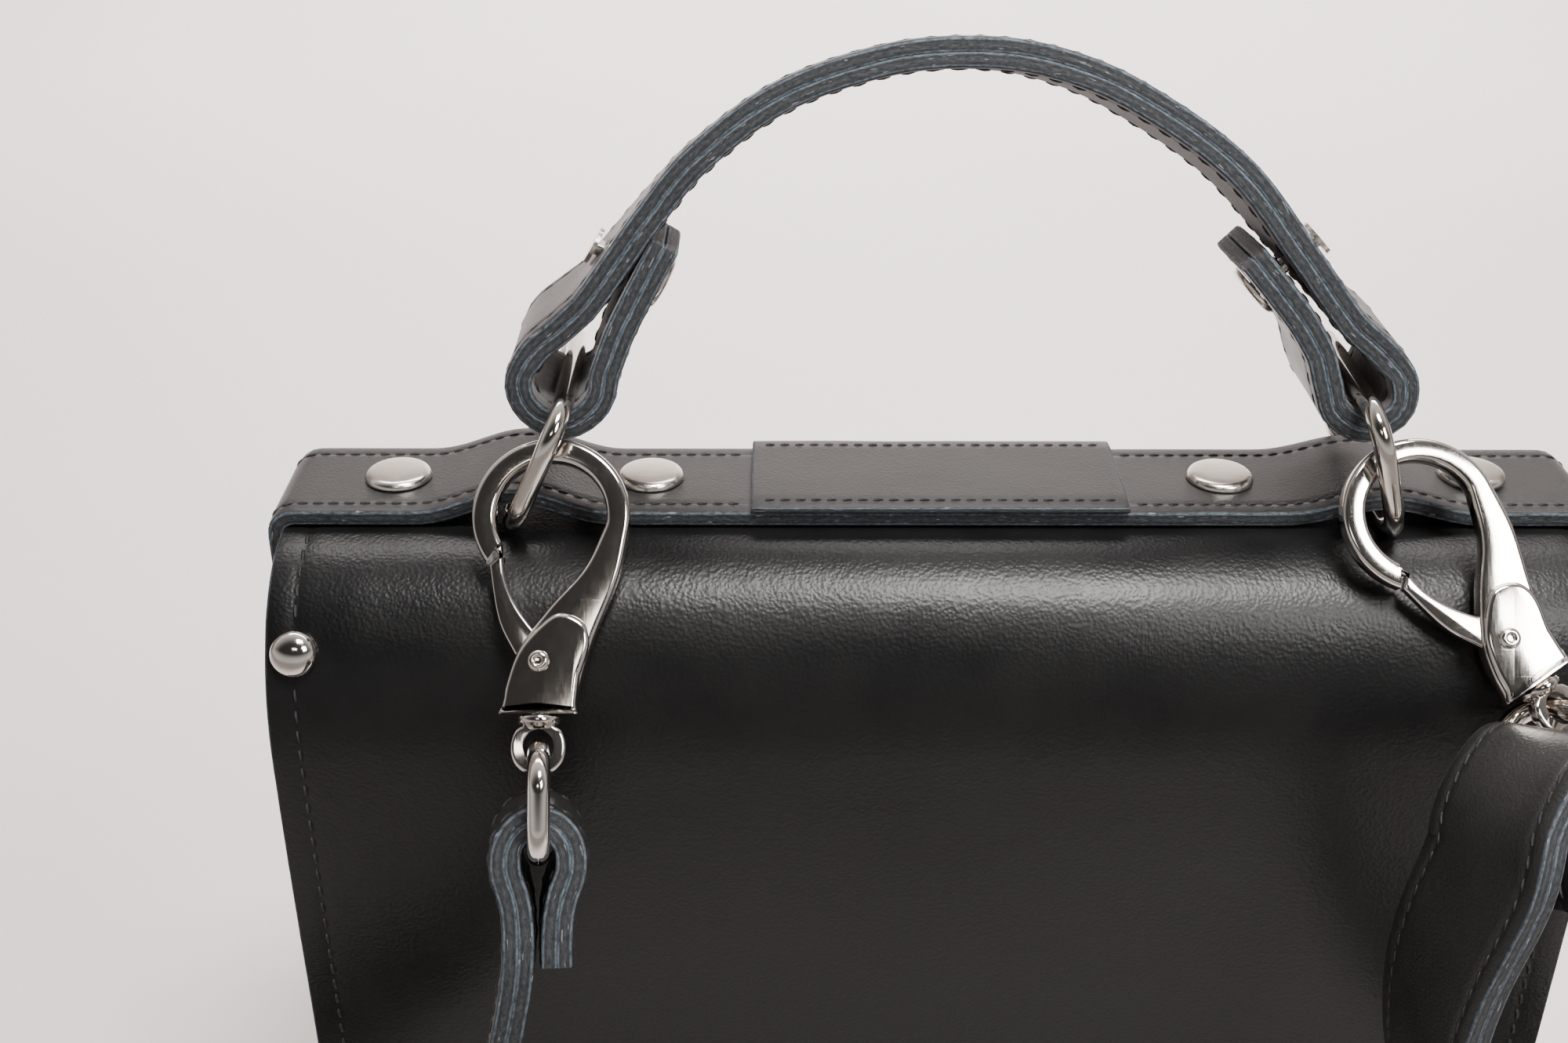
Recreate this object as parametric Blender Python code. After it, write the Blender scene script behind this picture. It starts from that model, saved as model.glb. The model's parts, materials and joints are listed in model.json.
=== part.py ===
"""Leather satchel bag with a top carrying handle and a clipped-on shoulder strap.

Metres, +Z up. The origin is the middle of the bag's base on the surface it stands on. -Y is the
bag's back, where the shoulder strap hangs, and +Y its front, with the flap and the turn lock.
"""

import math

import bmesh
import bpy
import numpy as np
from mathutils import Matrix, Vector

MM = 0.001

# Driving dimensions
HALF_WIDTH = 137 * MM  # half the width of the back, front and flap
HEIGHT = 215 * MM  # top face of the carrying strip
BACK_Y = -45 * MM  # outer face of the back
FLAP_Y = 45 * MM  # outer face of the flap
LEATHER = 3 * MM  # body leather
GAP = 0.3 * MM  # between pieces that touch

STRIP_WIDTH = 30 * MM
STRIP_THICK = 3.3 * MM
STRIP_END = 140.6 * MM  # outer face of the strip's turned-down ends
STRIP_END_DROP = 26 * MM
TOP_Z = HEIGHT - 4.1 * MM  # outer face of the body leather under the strip
SHOULDER_START = 14 * MM  # where the flat top starts to round over
SHOULDER_DROP = 40 * MM
SHOULDER_POWER = 2.2

RING_WIRE = 2.1 * MM  # wire radius
# Middle lines of the two kinds of ring: height between the long bars, half length, corner radius
STRIP_RING = (28.5 * MM, 24.4 * MM, 9 * MM)
LINK_RING = (17.5 * MM, 18.6 * MM, 5.5 * MM)

HANDLE_WIDTH = 30 * MM
STRAP_WIDTH = 28 * MM
PLY = 3.0 * MM  # each of the two plies of the handle and the strap
PLY_OFFSET = 0.5 * (PLY + GAP)  # from the seam to the middle of a ply

# Ring seats: where each ring's lower bar lies under the strip, and how far it leans inwards
RING_SEATS = {
    "left": {"x": -88.6 * MM, "z": HEIGHT - 0.7 * MM, "lean": math.radians(24.4)},
    "right": {"x": 92.7 * MM, "z": HEIGHT - 1.9 * MM, "lean": math.radians(-16.2)},
}

# Snap hooks: the axis they swing about on the rings, and each hook's set in its own plane
HOOK_AXIS_Y = -17.9 * MM
HOOK_AXIS_Z = HEIGHT + 14.2 * MM
HOOK_LEAN = math.radians(40)
HOOK_SEATS = {
    "left": {"x": -84.1 * MM, "turn": 0.0, "clock": math.radians(111)},
    "right": {"x": 89.4 * MM, "turn": math.radians(-34), "clock": math.radians(82)},
}
BOW_CENTRE = (1.5 * MM, 29.4 * MM)  # in the hook's plane, from the gate pin
BOW_RADIUS = 13.5 * MM  # middle of the bow's bar
BOW_BAR = 4.7 * MM
HOOK_THICK = 4.4 * MM
CHEEK_THICK = 6.4 * MM
EYE_DROP = 16.4 * MM  # gate pin to the middle of the swivel's eye

# Link rings: the run of the bars towards the bag, the hang, and how far the middle of the first
# bar sits from the swivel's eye
LINK_SEATS = {
    "left": {"along": (-0.13, 0.86, -0.49), "down": (0.0, -0.5, -0.86), "shift": 9.4 * MM},
    "right": {"along": (-0.45, 0.80, -0.40), "down": (-0.71, -0.60, -0.375), "shift": 11.6 * MM},
}

RIVET_X = (-115 * MM, -61 * MM, 61 * MM, 115 * MM)
RIVET_HOLE = 2.3 * MM
LOCK_Z = 92 * MM


def clear_scene():
    for item in list(bpy.data.objects):
        bpy.data.objects.remove(item, do_unlink=True)


def make_material(name, colour, roughness, metallic=0.0):
    material = bpy.data.materials.new(name)
    material.use_nodes = True
    shader = material.node_tree.nodes["Principled BSDF"]
    shader.inputs["Base Color"].default_value = (*colour, 1.0)
    shader.inputs["Roughness"].default_value = roughness
    shader.inputs["Metallic"].default_value = metallic
    return material


def add_object(name, mesh_data, material, smooth_angle=None):
    """Turns a bmesh into a named object with outward normals."""
    bmesh.ops.recalc_face_normals(mesh_data, faces=mesh_data.faces)
    mesh = bpy.data.meshes.new(name)
    mesh_data.to_mesh(mesh)
    mesh_data.free()
    mesh.materials.append(material)
    if smooth_angle is not None:
        mesh.shade_smooth()
        mesh.set_sharp_from_angle(angle=math.radians(smooth_angle))
    item = bpy.data.objects.new(name, mesh)
    bpy.context.scene.collection.objects.link(item)
    return item


def loft(sections, closed=False):
    """A closed bmesh through equal rings of points: capped at both ends, or joined into a loop."""
    shape = bmesh.new()
    rings = [[shape.verts.new(point) for point in ring] for ring in sections]
    count = len(rings[0])
    pairs = list(zip(rings, rings[1:]))
    if closed:
        pairs.append((rings[-1], rings[0]))
    for first, second in pairs:
        for i in range(count):
            j = (i + 1) % count
            shape.faces.new((first[i], first[j], second[j], second[i]))
    if not closed:
        shape.faces.new(rings[0][::-1])
        shape.faces.new(rings[-1])
    return shape


def lathe(profile, frame, segments=16):
    """Turns (radius, height) points about the frame's local Z. The first and last lie on the axis."""
    shape = bmesh.new()
    turned = profile[1:-1]
    rings = []
    for i in range(segments):
        angle = 2 * math.pi * i / segments
        points = [Vector((r * math.cos(angle), r * math.sin(angle), h)) for r, h in turned]
        rings.append([shape.verts.new(frame @ point) for point in points])
    for i in range(segments):
        first, second = rings[i], rings[(i + 1) % segments]
        for j in range(len(turned) - 1):
            shape.faces.new((first[j], second[j], second[j + 1], first[j + 1]))
    for end, row in ((profile[0], 0), (profile[-1], -1)):
        tip = shape.verts.new(frame @ Vector((0, 0, end[1])))
        for i in range(segments):
            shape.faces.new((tip, rings[i][row], rings[(i + 1) % segments][row]))
    return shape


def axes_frame(origin, x_axis, z_axis):
    """A placement with these local X and Z directions."""
    z_axis = Vector(z_axis).normalized()
    x_axis = (Vector(x_axis) - z_axis * Vector(x_axis).dot(z_axis)).normalized()
    rotation = Matrix((x_axis, z_axis.cross(x_axis), z_axis)).transposed()
    return Matrix.Translation(Vector(origin)) @ rotation.to_4x4()


def cut(target, cutter_mesh, name):
    """Subtracts a closed bmesh from an object with an exact Boolean."""
    cutter = add_object(name, cutter_mesh, target.data.materials[0])
    cutter.hide_render = True
    cutter.display_type = "WIRE"
    modifier = target.modifiers.new(name, "BOOLEAN")
    modifier.operation = "DIFFERENCE"
    modifier.solver = "EXACT"
    modifier.object = cutter


def join(target, other_mesh, name):
    """Adds a closed bmesh to an object with an exact Boolean."""
    other = add_object(name, other_mesh, target.data.materials[0])
    other.hide_render = True
    other.display_type = "WIRE"
    modifier = target.modifiers.new(name, "BOOLEAN")
    modifier.operation = "UNION"
    modifier.solver = "EXACT"
    modifier.object = other


def cylinder_mesh(frame, radius, low, high, segments=12):
    return lathe([(0, low), (radius, low), (radius, high), (0, high)], frame, segments)


def extrude_outline(outline, frame, low, high):
    """A prism of a closed (x, y) outline, from low to high along the frame's local Z."""
    return loft([[frame @ Vector((x, y, z)) for x, y in outline] for z in (low, high)])


def smooth_route(points, spacing):
    """Points along a smooth curve through the given points. spacing is one step or one per span."""
    points = np.array(points, float)
    steps = np.linalg.norm(np.diff(points, axis=0), axis=1)
    spacing = np.broadcast_to(spacing, len(steps))
    knots = np.concatenate([[0], np.cumsum(steps)])
    slopes = np.empty_like(points)
    slopes[1:-1] = (points[2:] - points[:-2]) / (knots[2:] - knots[:-2])[:, None]
    slopes[0] = (points[1] - points[0]) / steps[0]
    slopes[-1] = (points[-1] - points[-2]) / steps[-1]
    route = []
    for i, length in enumerate(steps):
        count = max(1, round(length / spacing[i]))
        for k in range(count):
            t = k / count
            route.append(
                (2 * t**3 - 3 * t**2 + 1) * points[i]
                + (t**3 - 2 * t**2 + t) * length * slopes[i]
                + (3 * t**2 - 2 * t**3) * points[i + 1]
                + (t**3 - t**2) * length * slopes[i + 1]
            )
    route.append(points[-1])
    return np.array(route)


def unit(vectors):
    return vectors / np.linalg.norm(vectors, axis=-1, keepdims=True)


def ribbon(route, widths, width, thickness, offset):
    """A strap along a route. widths is its edge-to-edge direction, offset moves it off the route."""
    tangents = unit(np.gradient(route, axis=0))
    widths = unit(widths - tangents * np.sum(widths * tangents, axis=1, keepdims=True))
    normals = np.cross(widths, tangents)
    middle = route + normals * offset
    sections = []
    for centre, across, out in zip(middle, widths, normals):
        half_w = across * width / 2
        half_t = out * thickness / 2
        sections.append(
            [centre - half_w - half_t, centre + half_w - half_t, centre + half_w + half_t, centre - half_w + half_t]
        )
    return ribbon_mesh([[Vector(point) for point in section] for section in sections])


def ribbon_mesh(sections):
    """Closes four-cornered sections, with matching triangles on a ply's two broad faces."""
    shape = bmesh.new()
    rings = [[shape.verts.new(point) for point in section] for section in sections]
    for first, second in zip(rings, rings[1:]):
        for i, j in ((0, 1), (1, 2)):
            shape.faces.new((first[i], first[j], second[j]))
            shape.faces.new((first[i], second[j], second[i]))
        for i, j in ((2, 3), (3, 0)):
            shape.faces.new((first[i], first[j], second[i]))
            shape.faces.new((first[j], second[j], second[i]))
    shape.faces.new(rings[0][::-1])
    shape.faces.new(rings[-1])
    return shape


def arc(centre, radius, start, end, count):
    """Points on a circle, angles in degrees, both ends included."""
    angles = np.radians(np.linspace(start, end, count))
    return [(centre[0] + radius * math.cos(a), centre[1] + radius * math.sin(a)) for a in angles]


def mm_points(points):
    return [(x * MM, y * MM) for x, y in points]


# ---------------------------------------------------------------- body


def shoulder(side_y, inset, count=9):
    """(y, z) points of a rounded top edge from flat to upright. inset moves it inwards."""
    sign = math.copysign(1, side_y)
    reach = abs(side_y) - SHOULDER_START - inset
    drop = SHOULDER_DROP - inset
    points = []
    for i in range(count):
        angle = 0.5 * math.pi * i / (count - 1)
        across = math.sin(angle) ** (2 / SHOULDER_POWER)
        down = 1 - math.cos(angle) ** (2 / SHOULDER_POWER)
        points.append((sign * (SHOULDER_START + reach * across), TOP_Z - inset - drop * down))
    return points


def cross_section_prism(outline, half_width):
    """Extrudes a (y, z) outline along X, centred."""
    return loft([[Vector((x, y, z)) for y, z in outline] for x in (-half_width, half_width)])


def shoulder_frame(side_y, drop):
    """The point and outward normal of the shoulder's outer face this far below the top."""
    points = shoulder(side_y, 0, 41)
    index = min(range(1, 40), key=lambda i: abs(TOP_Z - points[i][1] - drop))
    along = Vector((0, *points[index + 1])) - Vector((0, *points[index - 1]))
    normal = Vector((0, along.z, -along.y)).normalized()
    if normal.y * side_y < 0:
        normal = -normal
    return Vector((0, *points[index])), normal


def make_back_panel(leather):
    """The back, its rounded shoulder and the flat top under the strip, one piece of leather."""
    outer = shoulder(BACK_Y, 0) + [(BACK_Y, 0)]
    inner = [(BACK_Y + LEATHER, 0)] + shoulder(BACK_Y, LEATHER)[::-1]
    front_edge = STRIP_WIDTH / 2 + 1.5 * MM
    outline = [(front_edge, TOP_Z), *outer, *inner, (front_edge, TOP_Z - LEATHER)]
    panel = add_object("back_panel", cross_section_prism(outline, HALF_WIDTH), leather, 30)
    for i, x in enumerate(RIVET_X):
        frame = Matrix.Translation((x, 0, TOP_Z))
        cut(panel, cylinder_mesh(frame, RIVET_HOLE, -8 * MM, 4 * MM), f"back_hole_{i}")
    return panel


def make_front_panel(leather):
    """The front wall under the flap, open above."""
    outer_y = FLAP_Y - LEATHER - GAP
    top = HEIGHT - 43 * MM
    outline = [(outer_y, 0), (outer_y, top), (outer_y - LEATHER, top), (outer_y - LEATHER, 0)]
    panel = add_object("front_panel", cross_section_prism(outline, HALF_WIDTH), leather)
    frame = axes_frame((0, outer_y, LOCK_Z), (1, 0, 0), (0, 1, 0))
    cut(panel, cylinder_mesh(frame, 4.3 * MM, -8 * MM, 8 * MM), "front_lock_hole")
    return panel


BACK_INNER = BACK_Y + LEATHER + GAP
FRONT_INNER = FLAP_Y - 2 * LEATHER - 2 * GAP
FLANGE = 10 * MM
SIDE_LEATHER = 2.5 * MM


def make_base_panel(leather):
    """The bottom, with its long edges turned up inside the back and the front."""
    turn_up = 16 * MM
    low = [(BACK_INNER, turn_up), (BACK_INNER, 0), (FRONT_INNER, 0), (FRONT_INNER, turn_up)]
    inner_back, inner_front = BACK_INNER + LEATHER, FRONT_INNER - LEATHER
    high = [(inner_front, turn_up), (inner_front, LEATHER), (inner_back, LEATHER), (inner_back, turn_up)]
    half = HALF_WIDTH - FLANGE - 2 * GAP
    return add_object("base_panel", cross_section_prism(low + high, half), leather)


def gusset_outline(inset):
    """(y, z) outline of a side piece, inside the back, the flap and the front."""
    back = shoulder(BACK_INNER, inset, 7)
    front = shoulder(FRONT_INNER, inset, 7)
    lower = -(LEATHER + 2 * GAP)
    back = [(y, z + lower) for y, z in back]
    front = [(y, z + lower) for y, z in front]
    foot = inset
    return [(BACK_INNER + inset, foot), *back[::-1], *front, (FRONT_INNER - inset, foot)]


def make_gusset(name, side, leather):
    """A side piece: a flat wall with its edge turned in all round as a flange for the seams."""
    outer, inner = gusset_outline(0), gusset_outline(SIDE_LEATHER)
    wall = HALF_WIDTH - GAP
    rows = [
        (wall, outer),
        (wall - FLANGE, outer),
        (wall - FLANGE, inner),
        (wall - SIDE_LEATHER, inner),
    ]
    shape = loft([[Vector((side * x, y, z)) for y, z in outline] for x, outline in rows])
    return add_object(name, shape, leather, 30)


def make_flap(leather):
    """The front flap, hinged along the strip's front edge."""
    start = STRIP_WIDTH / 2 + 2.8 * MM
    outer = [(y, z) for y, z in shoulder(FLAP_Y, 0) if y > start + MM]
    inner = [(y, z) for y, z in shoulder(FLAP_Y, LEATHER) if y > start + MM]
    foot = 58 * MM
    edge_z = TOP_Z - 0.1 * MM
    outline = [
        (start, edge_z),
        *outer,
        (FLAP_Y, foot),
        (FLAP_Y - LEATHER, foot),
        *inner[::-1],
        (start, edge_z - LEATHER),
    ]
    flap = add_object("flap", cross_section_prism(outline, HALF_WIDTH), leather, 30)
    slot = mm_points([(-6.5, -4.5), (6.5, -4.5), (6.5, 4.5), (-6.5, 4.5)])
    frame = axes_frame((0, FLAP_Y, LOCK_Z), (1, 0, 0), (0, 1, 0))
    cut(flap, extrude_outline(slot, frame, -8 * MM, 8 * MM), "flap_slot")
    return flap


# ---------------------------------------------------------------- strip, label and rivets


def strip_height(x):
    """Height of the strip's underside: flat, and humped over each ring's lower bar."""
    height = HEIGHT - STRIP_THICK
    for seat in RING_SEATS.values():
        rise = seat["z"] + RING_WIRE + GAP - height
        reach = 21 * MM
        distance = min(abs(x - seat["x"]), reach)
        height += rise * 0.5 * (1 + math.cos(math.pi * distance / reach))
    return height


def make_top_strip(leather):
    """The carrying strip: along the top, over the rings' lower bars and down both ends."""
    outer_bend, inner_bend = 6 * MM, 1.2 * MM
    inner_end = STRIP_END - STRIP_THICK
    flat_end = STRIP_END - outer_bend
    xs = np.linspace(-flat_end, flat_end, 49)
    under = [(x, strip_height(x)) for x in xs]
    over = [(x, z + STRIP_THICK) for x, z in under]
    foot = HEIGHT - STRIP_END_DROP
    outside = arc((flat_end, HEIGHT - outer_bend), outer_bend, 75, 0, 6)
    inside_centre = (inner_end - inner_bend, HEIGHT - STRIP_THICK - inner_bend)
    inside = arc(inside_centre, inner_bend, 90, 0, 4)
    outside.append((STRIP_END, foot))
    inside.append((inner_end, foot))
    mirror = lambda points: [(-x, z) for x, z in points]
    outline = over + outside + inside[::-1] + under[::-1] + mirror(inside) + mirror(outside)[::-1]
    sections = [[Vector((x, y, z)) for x, z in outline] for y in (-STRIP_WIDTH / 2, STRIP_WIDTH / 2)]
    strip = add_object("top_strip", loft(sections), leather, 30)
    for i, x in enumerate(RIVET_X):
        frame = Matrix.Translation((x, 0, HEIGHT))
        cut(strip, cylinder_mesh(frame, RIVET_HOLE, -9 * MM, 9 * MM), f"strip_hole_{i}")
    return strip


def make_label_patch(leather):
    """The blank patch sewn over the middle of the strip."""
    low, high = HEIGHT + GAP, HEIGHT + GAP + 1.4 * MM
    frame = Matrix.Translation((0, 0, 0))
    corners = [(-39.5, -16), (39.5, -16), (39.5, 16), (-39.5, 16)]
    outline = [(x * MM, y * MM) for x, y in corners]
    return add_object("label_patch", extrude_outline(outline, frame, low, high), leather)


def make_strip_rivet(name, x, metal):
    """A flat-capped rivet through the strip and the body leather, with its disc inside."""
    cap, shank, disc = 7.1 * MM, 1.9 * MM, 4.5 * MM
    base = max(strip_height(x - cap), strip_height(x), strip_height(x + cap)) + STRIP_THICK + GAP
    under = TOP_Z - LEATHER - GAP
    profile = [
        (0, base + 1.7 * MM),
        (cap - 1.2 * MM, base + 1.5 * MM),
        (cap - 0.2 * MM, base + 0.9 * MM),
        (cap, base),
        (shank, base),
        (shank, under),
        (disc, under),
        (disc, under - 1.0 * MM),
        (0, under - 1.0 * MM),
    ]
    return add_object(name, lathe(profile, Matrix.Translation((x, 0, 0)), 18), metal, 40)


def make_dome_rivet(name, side, side_y, panels, metal):
    """A domed rivet through a shoulder of the body and the side piece's flange."""
    surface, normal = shoulder_frame(side_y, 15.4 * MM)
    place = surface + Vector((side * (HALF_WIDTH - 6 * MM), 0, 0))
    frame = axes_frame(place, (1, 0, 0), normal)
    radius, shank, disc = 4.8 * MM, 1.4 * MM, 3.0 * MM
    dome = [(radius * math.cos(a), GAP + 2.9 * MM * math.sin(a)) for a in np.radians([75, 50, 25, 0])]
    depth = -(LEATHER + SIDE_LEATHER + 5 * GAP)
    profile = [
        (0, GAP + 2.9 * MM),
        *dome,
        (shank, GAP),
        (shank, depth),
        (disc, depth),
        (disc, depth - 0.9 * MM),
        (0, depth - 0.9 * MM),
    ]
    for panel in panels:
        cut(panel, cylinder_mesh(frame, shank + 0.4 * MM, -9 * MM, 4 * MM), f"{name}_hole")
    return add_object(name, lathe(profile, frame, 16), metal, 40)


# ---------------------------------------------------------------- rings


def ring_mesh(frame, sizes):
    """A wire ring with rounded corners. Its first long bar runs along the frame's local Y."""
    height, half_length, corner = sizes
    points = []
    half_l, half_h = half_length - corner, height / 2 - corner
    corners = (((1, -1), -90), ((1, 1), 0), ((-1, 1), 90), ((-1, -1), 180))
    for (side, level), start in corners:
        centre = (side * half_l, height / 2 + level * half_h)
        points += arc(centre, corner, start, start + 90, 6)
    sections = []
    for i, (y, z) in enumerate(points):
        before, after = points[i - 1], points[(i + 1) % len(points)]
        along = Vector((0, after[0] - before[0], after[1] - before[1])).normalized()
        out = along.cross(Vector((1, 0, 0)))
        section = []
        for k in range(10):
            angle = 2 * math.pi * k / 10
            offset = Vector((1, 0, 0)) * math.cos(angle) + out * math.sin(angle)
            section.append(frame @ (Vector((0, y, z)) + offset * RING_WIRE))
        sections.append(section)
    return loft(sections, closed=True)


def seat_frame(side):
    """Placement of a strip ring: its lower bar in its seat, leaning about Y."""
    seat = RING_SEATS[side]
    lean = Matrix.Rotation(seat["lean"], 4, "Y")
    return Matrix.Translation((seat["x"], 0, seat["z"])) @ lean


def upper_bar(side):
    return seat_frame(side) @ Vector((0, 0, STRIP_RING[0]))


# ---------------------------------------------------------------- handle

# The seam between the handle's plies at its back edge, (x, height above the strip) in mm, from
# the end folded back on the left, round the left ring, over the arch and round the right ring.
HANDLE_ROUTE = [
    (-56.5, 54.5), (-61.2, 46), (-65.8, 37), (-68.8, 29), (-71.0, 23.0), (-77.0, 19.2), (-83.2, 21.8),
    (-85.6, 27), (-83.2, 33.4), (-77.5, 38.6), (-72.6, 43), (-66.4, 51), (-59.4, 60.4), (-49.8, 71.6),
    (-33.5, 83.3), (-13.2, 90.2), (3, 91.8), (18, 90.2), (34.5, 84.2), (55.9, 70.2), (71.3, 52.2),
    (81.4, 39.8), (88.6, 33.4), (92.2, 27.6), (91.2, 21.6), (85.8, 18.8), (80.2, 21.4), (77.6, 26.5),
    (75.4, 33), (71.6, 39.5), (66, 46.3), (60.8, 52.2),
]  # fmt: skip


def handle_lean(height):
    """The handle leans away from the back more and more towards its top."""
    share = min(max((height - 22 * MM) / (60 * MM), 0), 1)
    return math.radians(15) * share * share * (3 - 2 * share)


def handle_path():
    """Middle of the seam and the strap's edge-to-edge direction at each point."""
    edge = smooth_route([(x * MM, 0, h * MM) for x, h in HANDLE_ROUTE], 3 * MM)
    route, widths = [], []
    for x, _, height in edge:
        lean = handle_lean(height)
        across = np.array([0, math.cos(lean), -math.sin(lean)])
        back_edge = np.array([x, -HANDLE_WIDTH / 2 + max(height - 20 * MM, 0) * 0.2, HEIGHT + height])
        route.append(back_edge + across * HANDLE_WIDTH / 2)
        widths.append(across)
    return np.array(route), np.array(widths)


def make_handle(leather, metal):
    route, widths = handle_path()
    rivets = []
    for side, share in (("left", 0.028), ("right", 0.972)):
        index = round(share * (len(route) - 1))
        along = route[index + 1] - route[index - 1]
        inward = unit(np.cross(along, widths[index]))
        frame = axes_frame(route[index], widths[index], inward)
        beyond = route[np.abs(np.arange(len(route)) - index) > 12]
        rivets.append((side, frame, np.min(np.linalg.norm(beyond - route[index], axis=1))))
    plies = []
    for name, offset in (("handle_outer_ply", -PLY_OFFSET), ("handle_inner_ply", PLY_OFFSET)):
        shape = ribbon(route, widths, HANDLE_WIDTH, PLY, offset)
        plies.append(add_object(name, shape, leather, 30))
    for side, frame, apart in rivets:
        make_handle_rivet(f"handle_rivet_{side}", frame, apart, plies, metal)


def make_handle_rivet(name, frame, apart, plies, metal):
    """A flat-capped rivet that holds the handle's folded-back end to its arm."""
    high = PLY_OFFSET + PLY / 2 + GAP
    low = -(apart + high + 3 * GAP)
    cap, shank, disc = 6.0 * MM, 1.7 * MM, 4.0 * MM
    profile = [
        (0, high + 1.4 * MM),
        (cap - 1.0 * MM, high + 1.2 * MM),
        (cap, high),
        (shank, high),
        (shank, low),
        (disc, low),
        (disc, low - 0.9 * MM),
        (0, low - 0.9 * MM),
    ]
    for ply in plies:
        cut(ply, cylinder_mesh(frame, shank + 0.4 * MM, low - 1.5 * MM, high + 1.5 * MM), f"{name}_hole")
    return add_object(name, lathe(profile, frame, 16), metal, 40)


# ---------------------------------------------------------------- snap hooks and swivels


def hook_frame(side):
    """The hook's placement: local X across, Y up its length, Z out of its face, origin at the pin."""
    seat = HOOK_SEATS[side]
    up_plane = Vector((0, math.sin(HOOK_LEAN), math.cos(HOOK_LEAN)))
    out = Vector((0, -math.cos(HOOK_LEAN), math.sin(HOOK_LEAN)))
    turn = seat["turn"]
    up = up_plane * math.cos(turn) + Vector((1, 0, 0)) * math.sin(turn)
    across = up.cross(out)
    crossing = Vector((seat["x"], HOOK_AXIS_Y, HOOK_AXIS_Z))
    reach_x = BOW_CENTRE[0] + BOW_RADIUS * math.cos(seat["clock"])
    reach_y = BOW_CENTRE[1] + BOW_RADIUS * math.sin(seat["clock"])
    pin = crossing - across * reach_x - up * reach_y
    return Matrix.Translation(pin) @ Matrix((across, up, out)).transposed().to_4x4()


def make_hook_body(side, frame, metal):
    """The bow and the cheeks, cast in one, with a slot for the gate's foot."""
    outer = arc(BOW_CENTRE, BOW_RADIUS + BOW_BAR / 2, 211, -8, 22)
    inner = arc(BOW_CENTRE, BOW_RADIUS - BOW_BAR / 2, -8, 211, 18)
    right_side = mm_points([(15.2, 17.0), (10.6, 4.8), (8.2, -4.0), (7.4, -10.2)])
    left_side = mm_points([(-7.6, -10.2), (-6.6, -4.2), (-4.4, 2.2), (1.4, 10.6), (8.4, 18.8)])
    outline = outer + right_side + left_side + inner
    half = HOOK_THICK / 2
    body = add_object(f"hook_body_{side}", extrude_outline(outline, frame, -half, half), metal, 35)
    cheeks = mm_points([(8.0, -4.0), (7.2, -10.0), (-7.4, -10.0), (-6.4, -4.2), (-4.2, 2.0), (0.4, 6.2), (9.8, 3.5)])
    half = CHEEK_THICK / 2
    join(body, extrude_outline(cheeks, frame, -half, half), f"hook_cheeks_{side}")
    slot = mm_points([(-20, -4.6), (3.2, -4.6), (4.6, -1.5), (4.6, 3.0), (1.0, 13), (-20, 13)])
    cut(body, extrude_outline(slot, frame, -1.6 * MM, 1.6 * MM), f"hook_slot_{side}")
    cut(body, cylinder_mesh(frame, 1.4 * MM, -9 * MM, 9 * MM), f"hook_pin_hole_{side}")
    bore = axes_frame(frame @ Vector((0, 0, 0)), frame.to_3x3() @ Vector((1, 0, 0)), frame.to_3x3() @ Vector((0, 1, 0)))
    cut(body, cylinder_mesh(bore, 2.0 * MM, -20 * MM, -6.0 * MM), f"hook_bore_{side}")
    return body


def make_gate(side, frame, metal):
    """The sprung gate: a curved lever from the pin to the bow's nose."""
    radius = BOW_RADIUS
    foot = arc((0, 0), 3.2 * MM, -150, 30, 8)
    outer = mm_points([(-4.9, 1.5), (-8.4, 8.4), (-11.4, 15.6)])
    tip_angle = 213.5
    tip = arc(BOW_CENTRE, radius + 2.1 * MM, tip_angle, tip_angle, 1)
    tip += arc(BOW_CENTRE, radius - 2.1 * MM, tip_angle, tip_angle, 1)
    inner = mm_points([(-7.4, 16.4), (-4.2, 10.0)])
    outline = foot + inner[::-1] + tip[::-1] + outer[::-1]
    gate = add_object(f"gate_{side}", extrude_outline(outline, frame, -1.2 * MM, 1.2 * MM), metal, 35)
    cut(gate, cylinder_mesh(frame, 1.4 * MM, -4 * MM, 4 * MM), f"gate_hole_{side}")
    return gate


def make_gate_pin(side, frame, metal):
    """The pin the gate turns on, with a raised head on each cheek."""
    half = CHEEK_THICK / 2 + 0.2 * MM
    head, shank = 2.1 * MM, 1.1 * MM
    profile = [
        (0, half + 0.7 * MM),
        (head - 0.4 * MM, half + 0.7 * MM),
        (head, half),
        (shank, half),
        (shank, -half),
        (head, -half),
        (head - 0.4 * MM, -half - 0.7 * MM),
        (0, -half - 0.7 * MM),
    ]
    return add_object(f"gate_pin_{side}", lathe(profile, frame, 14), metal, 40)


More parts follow.
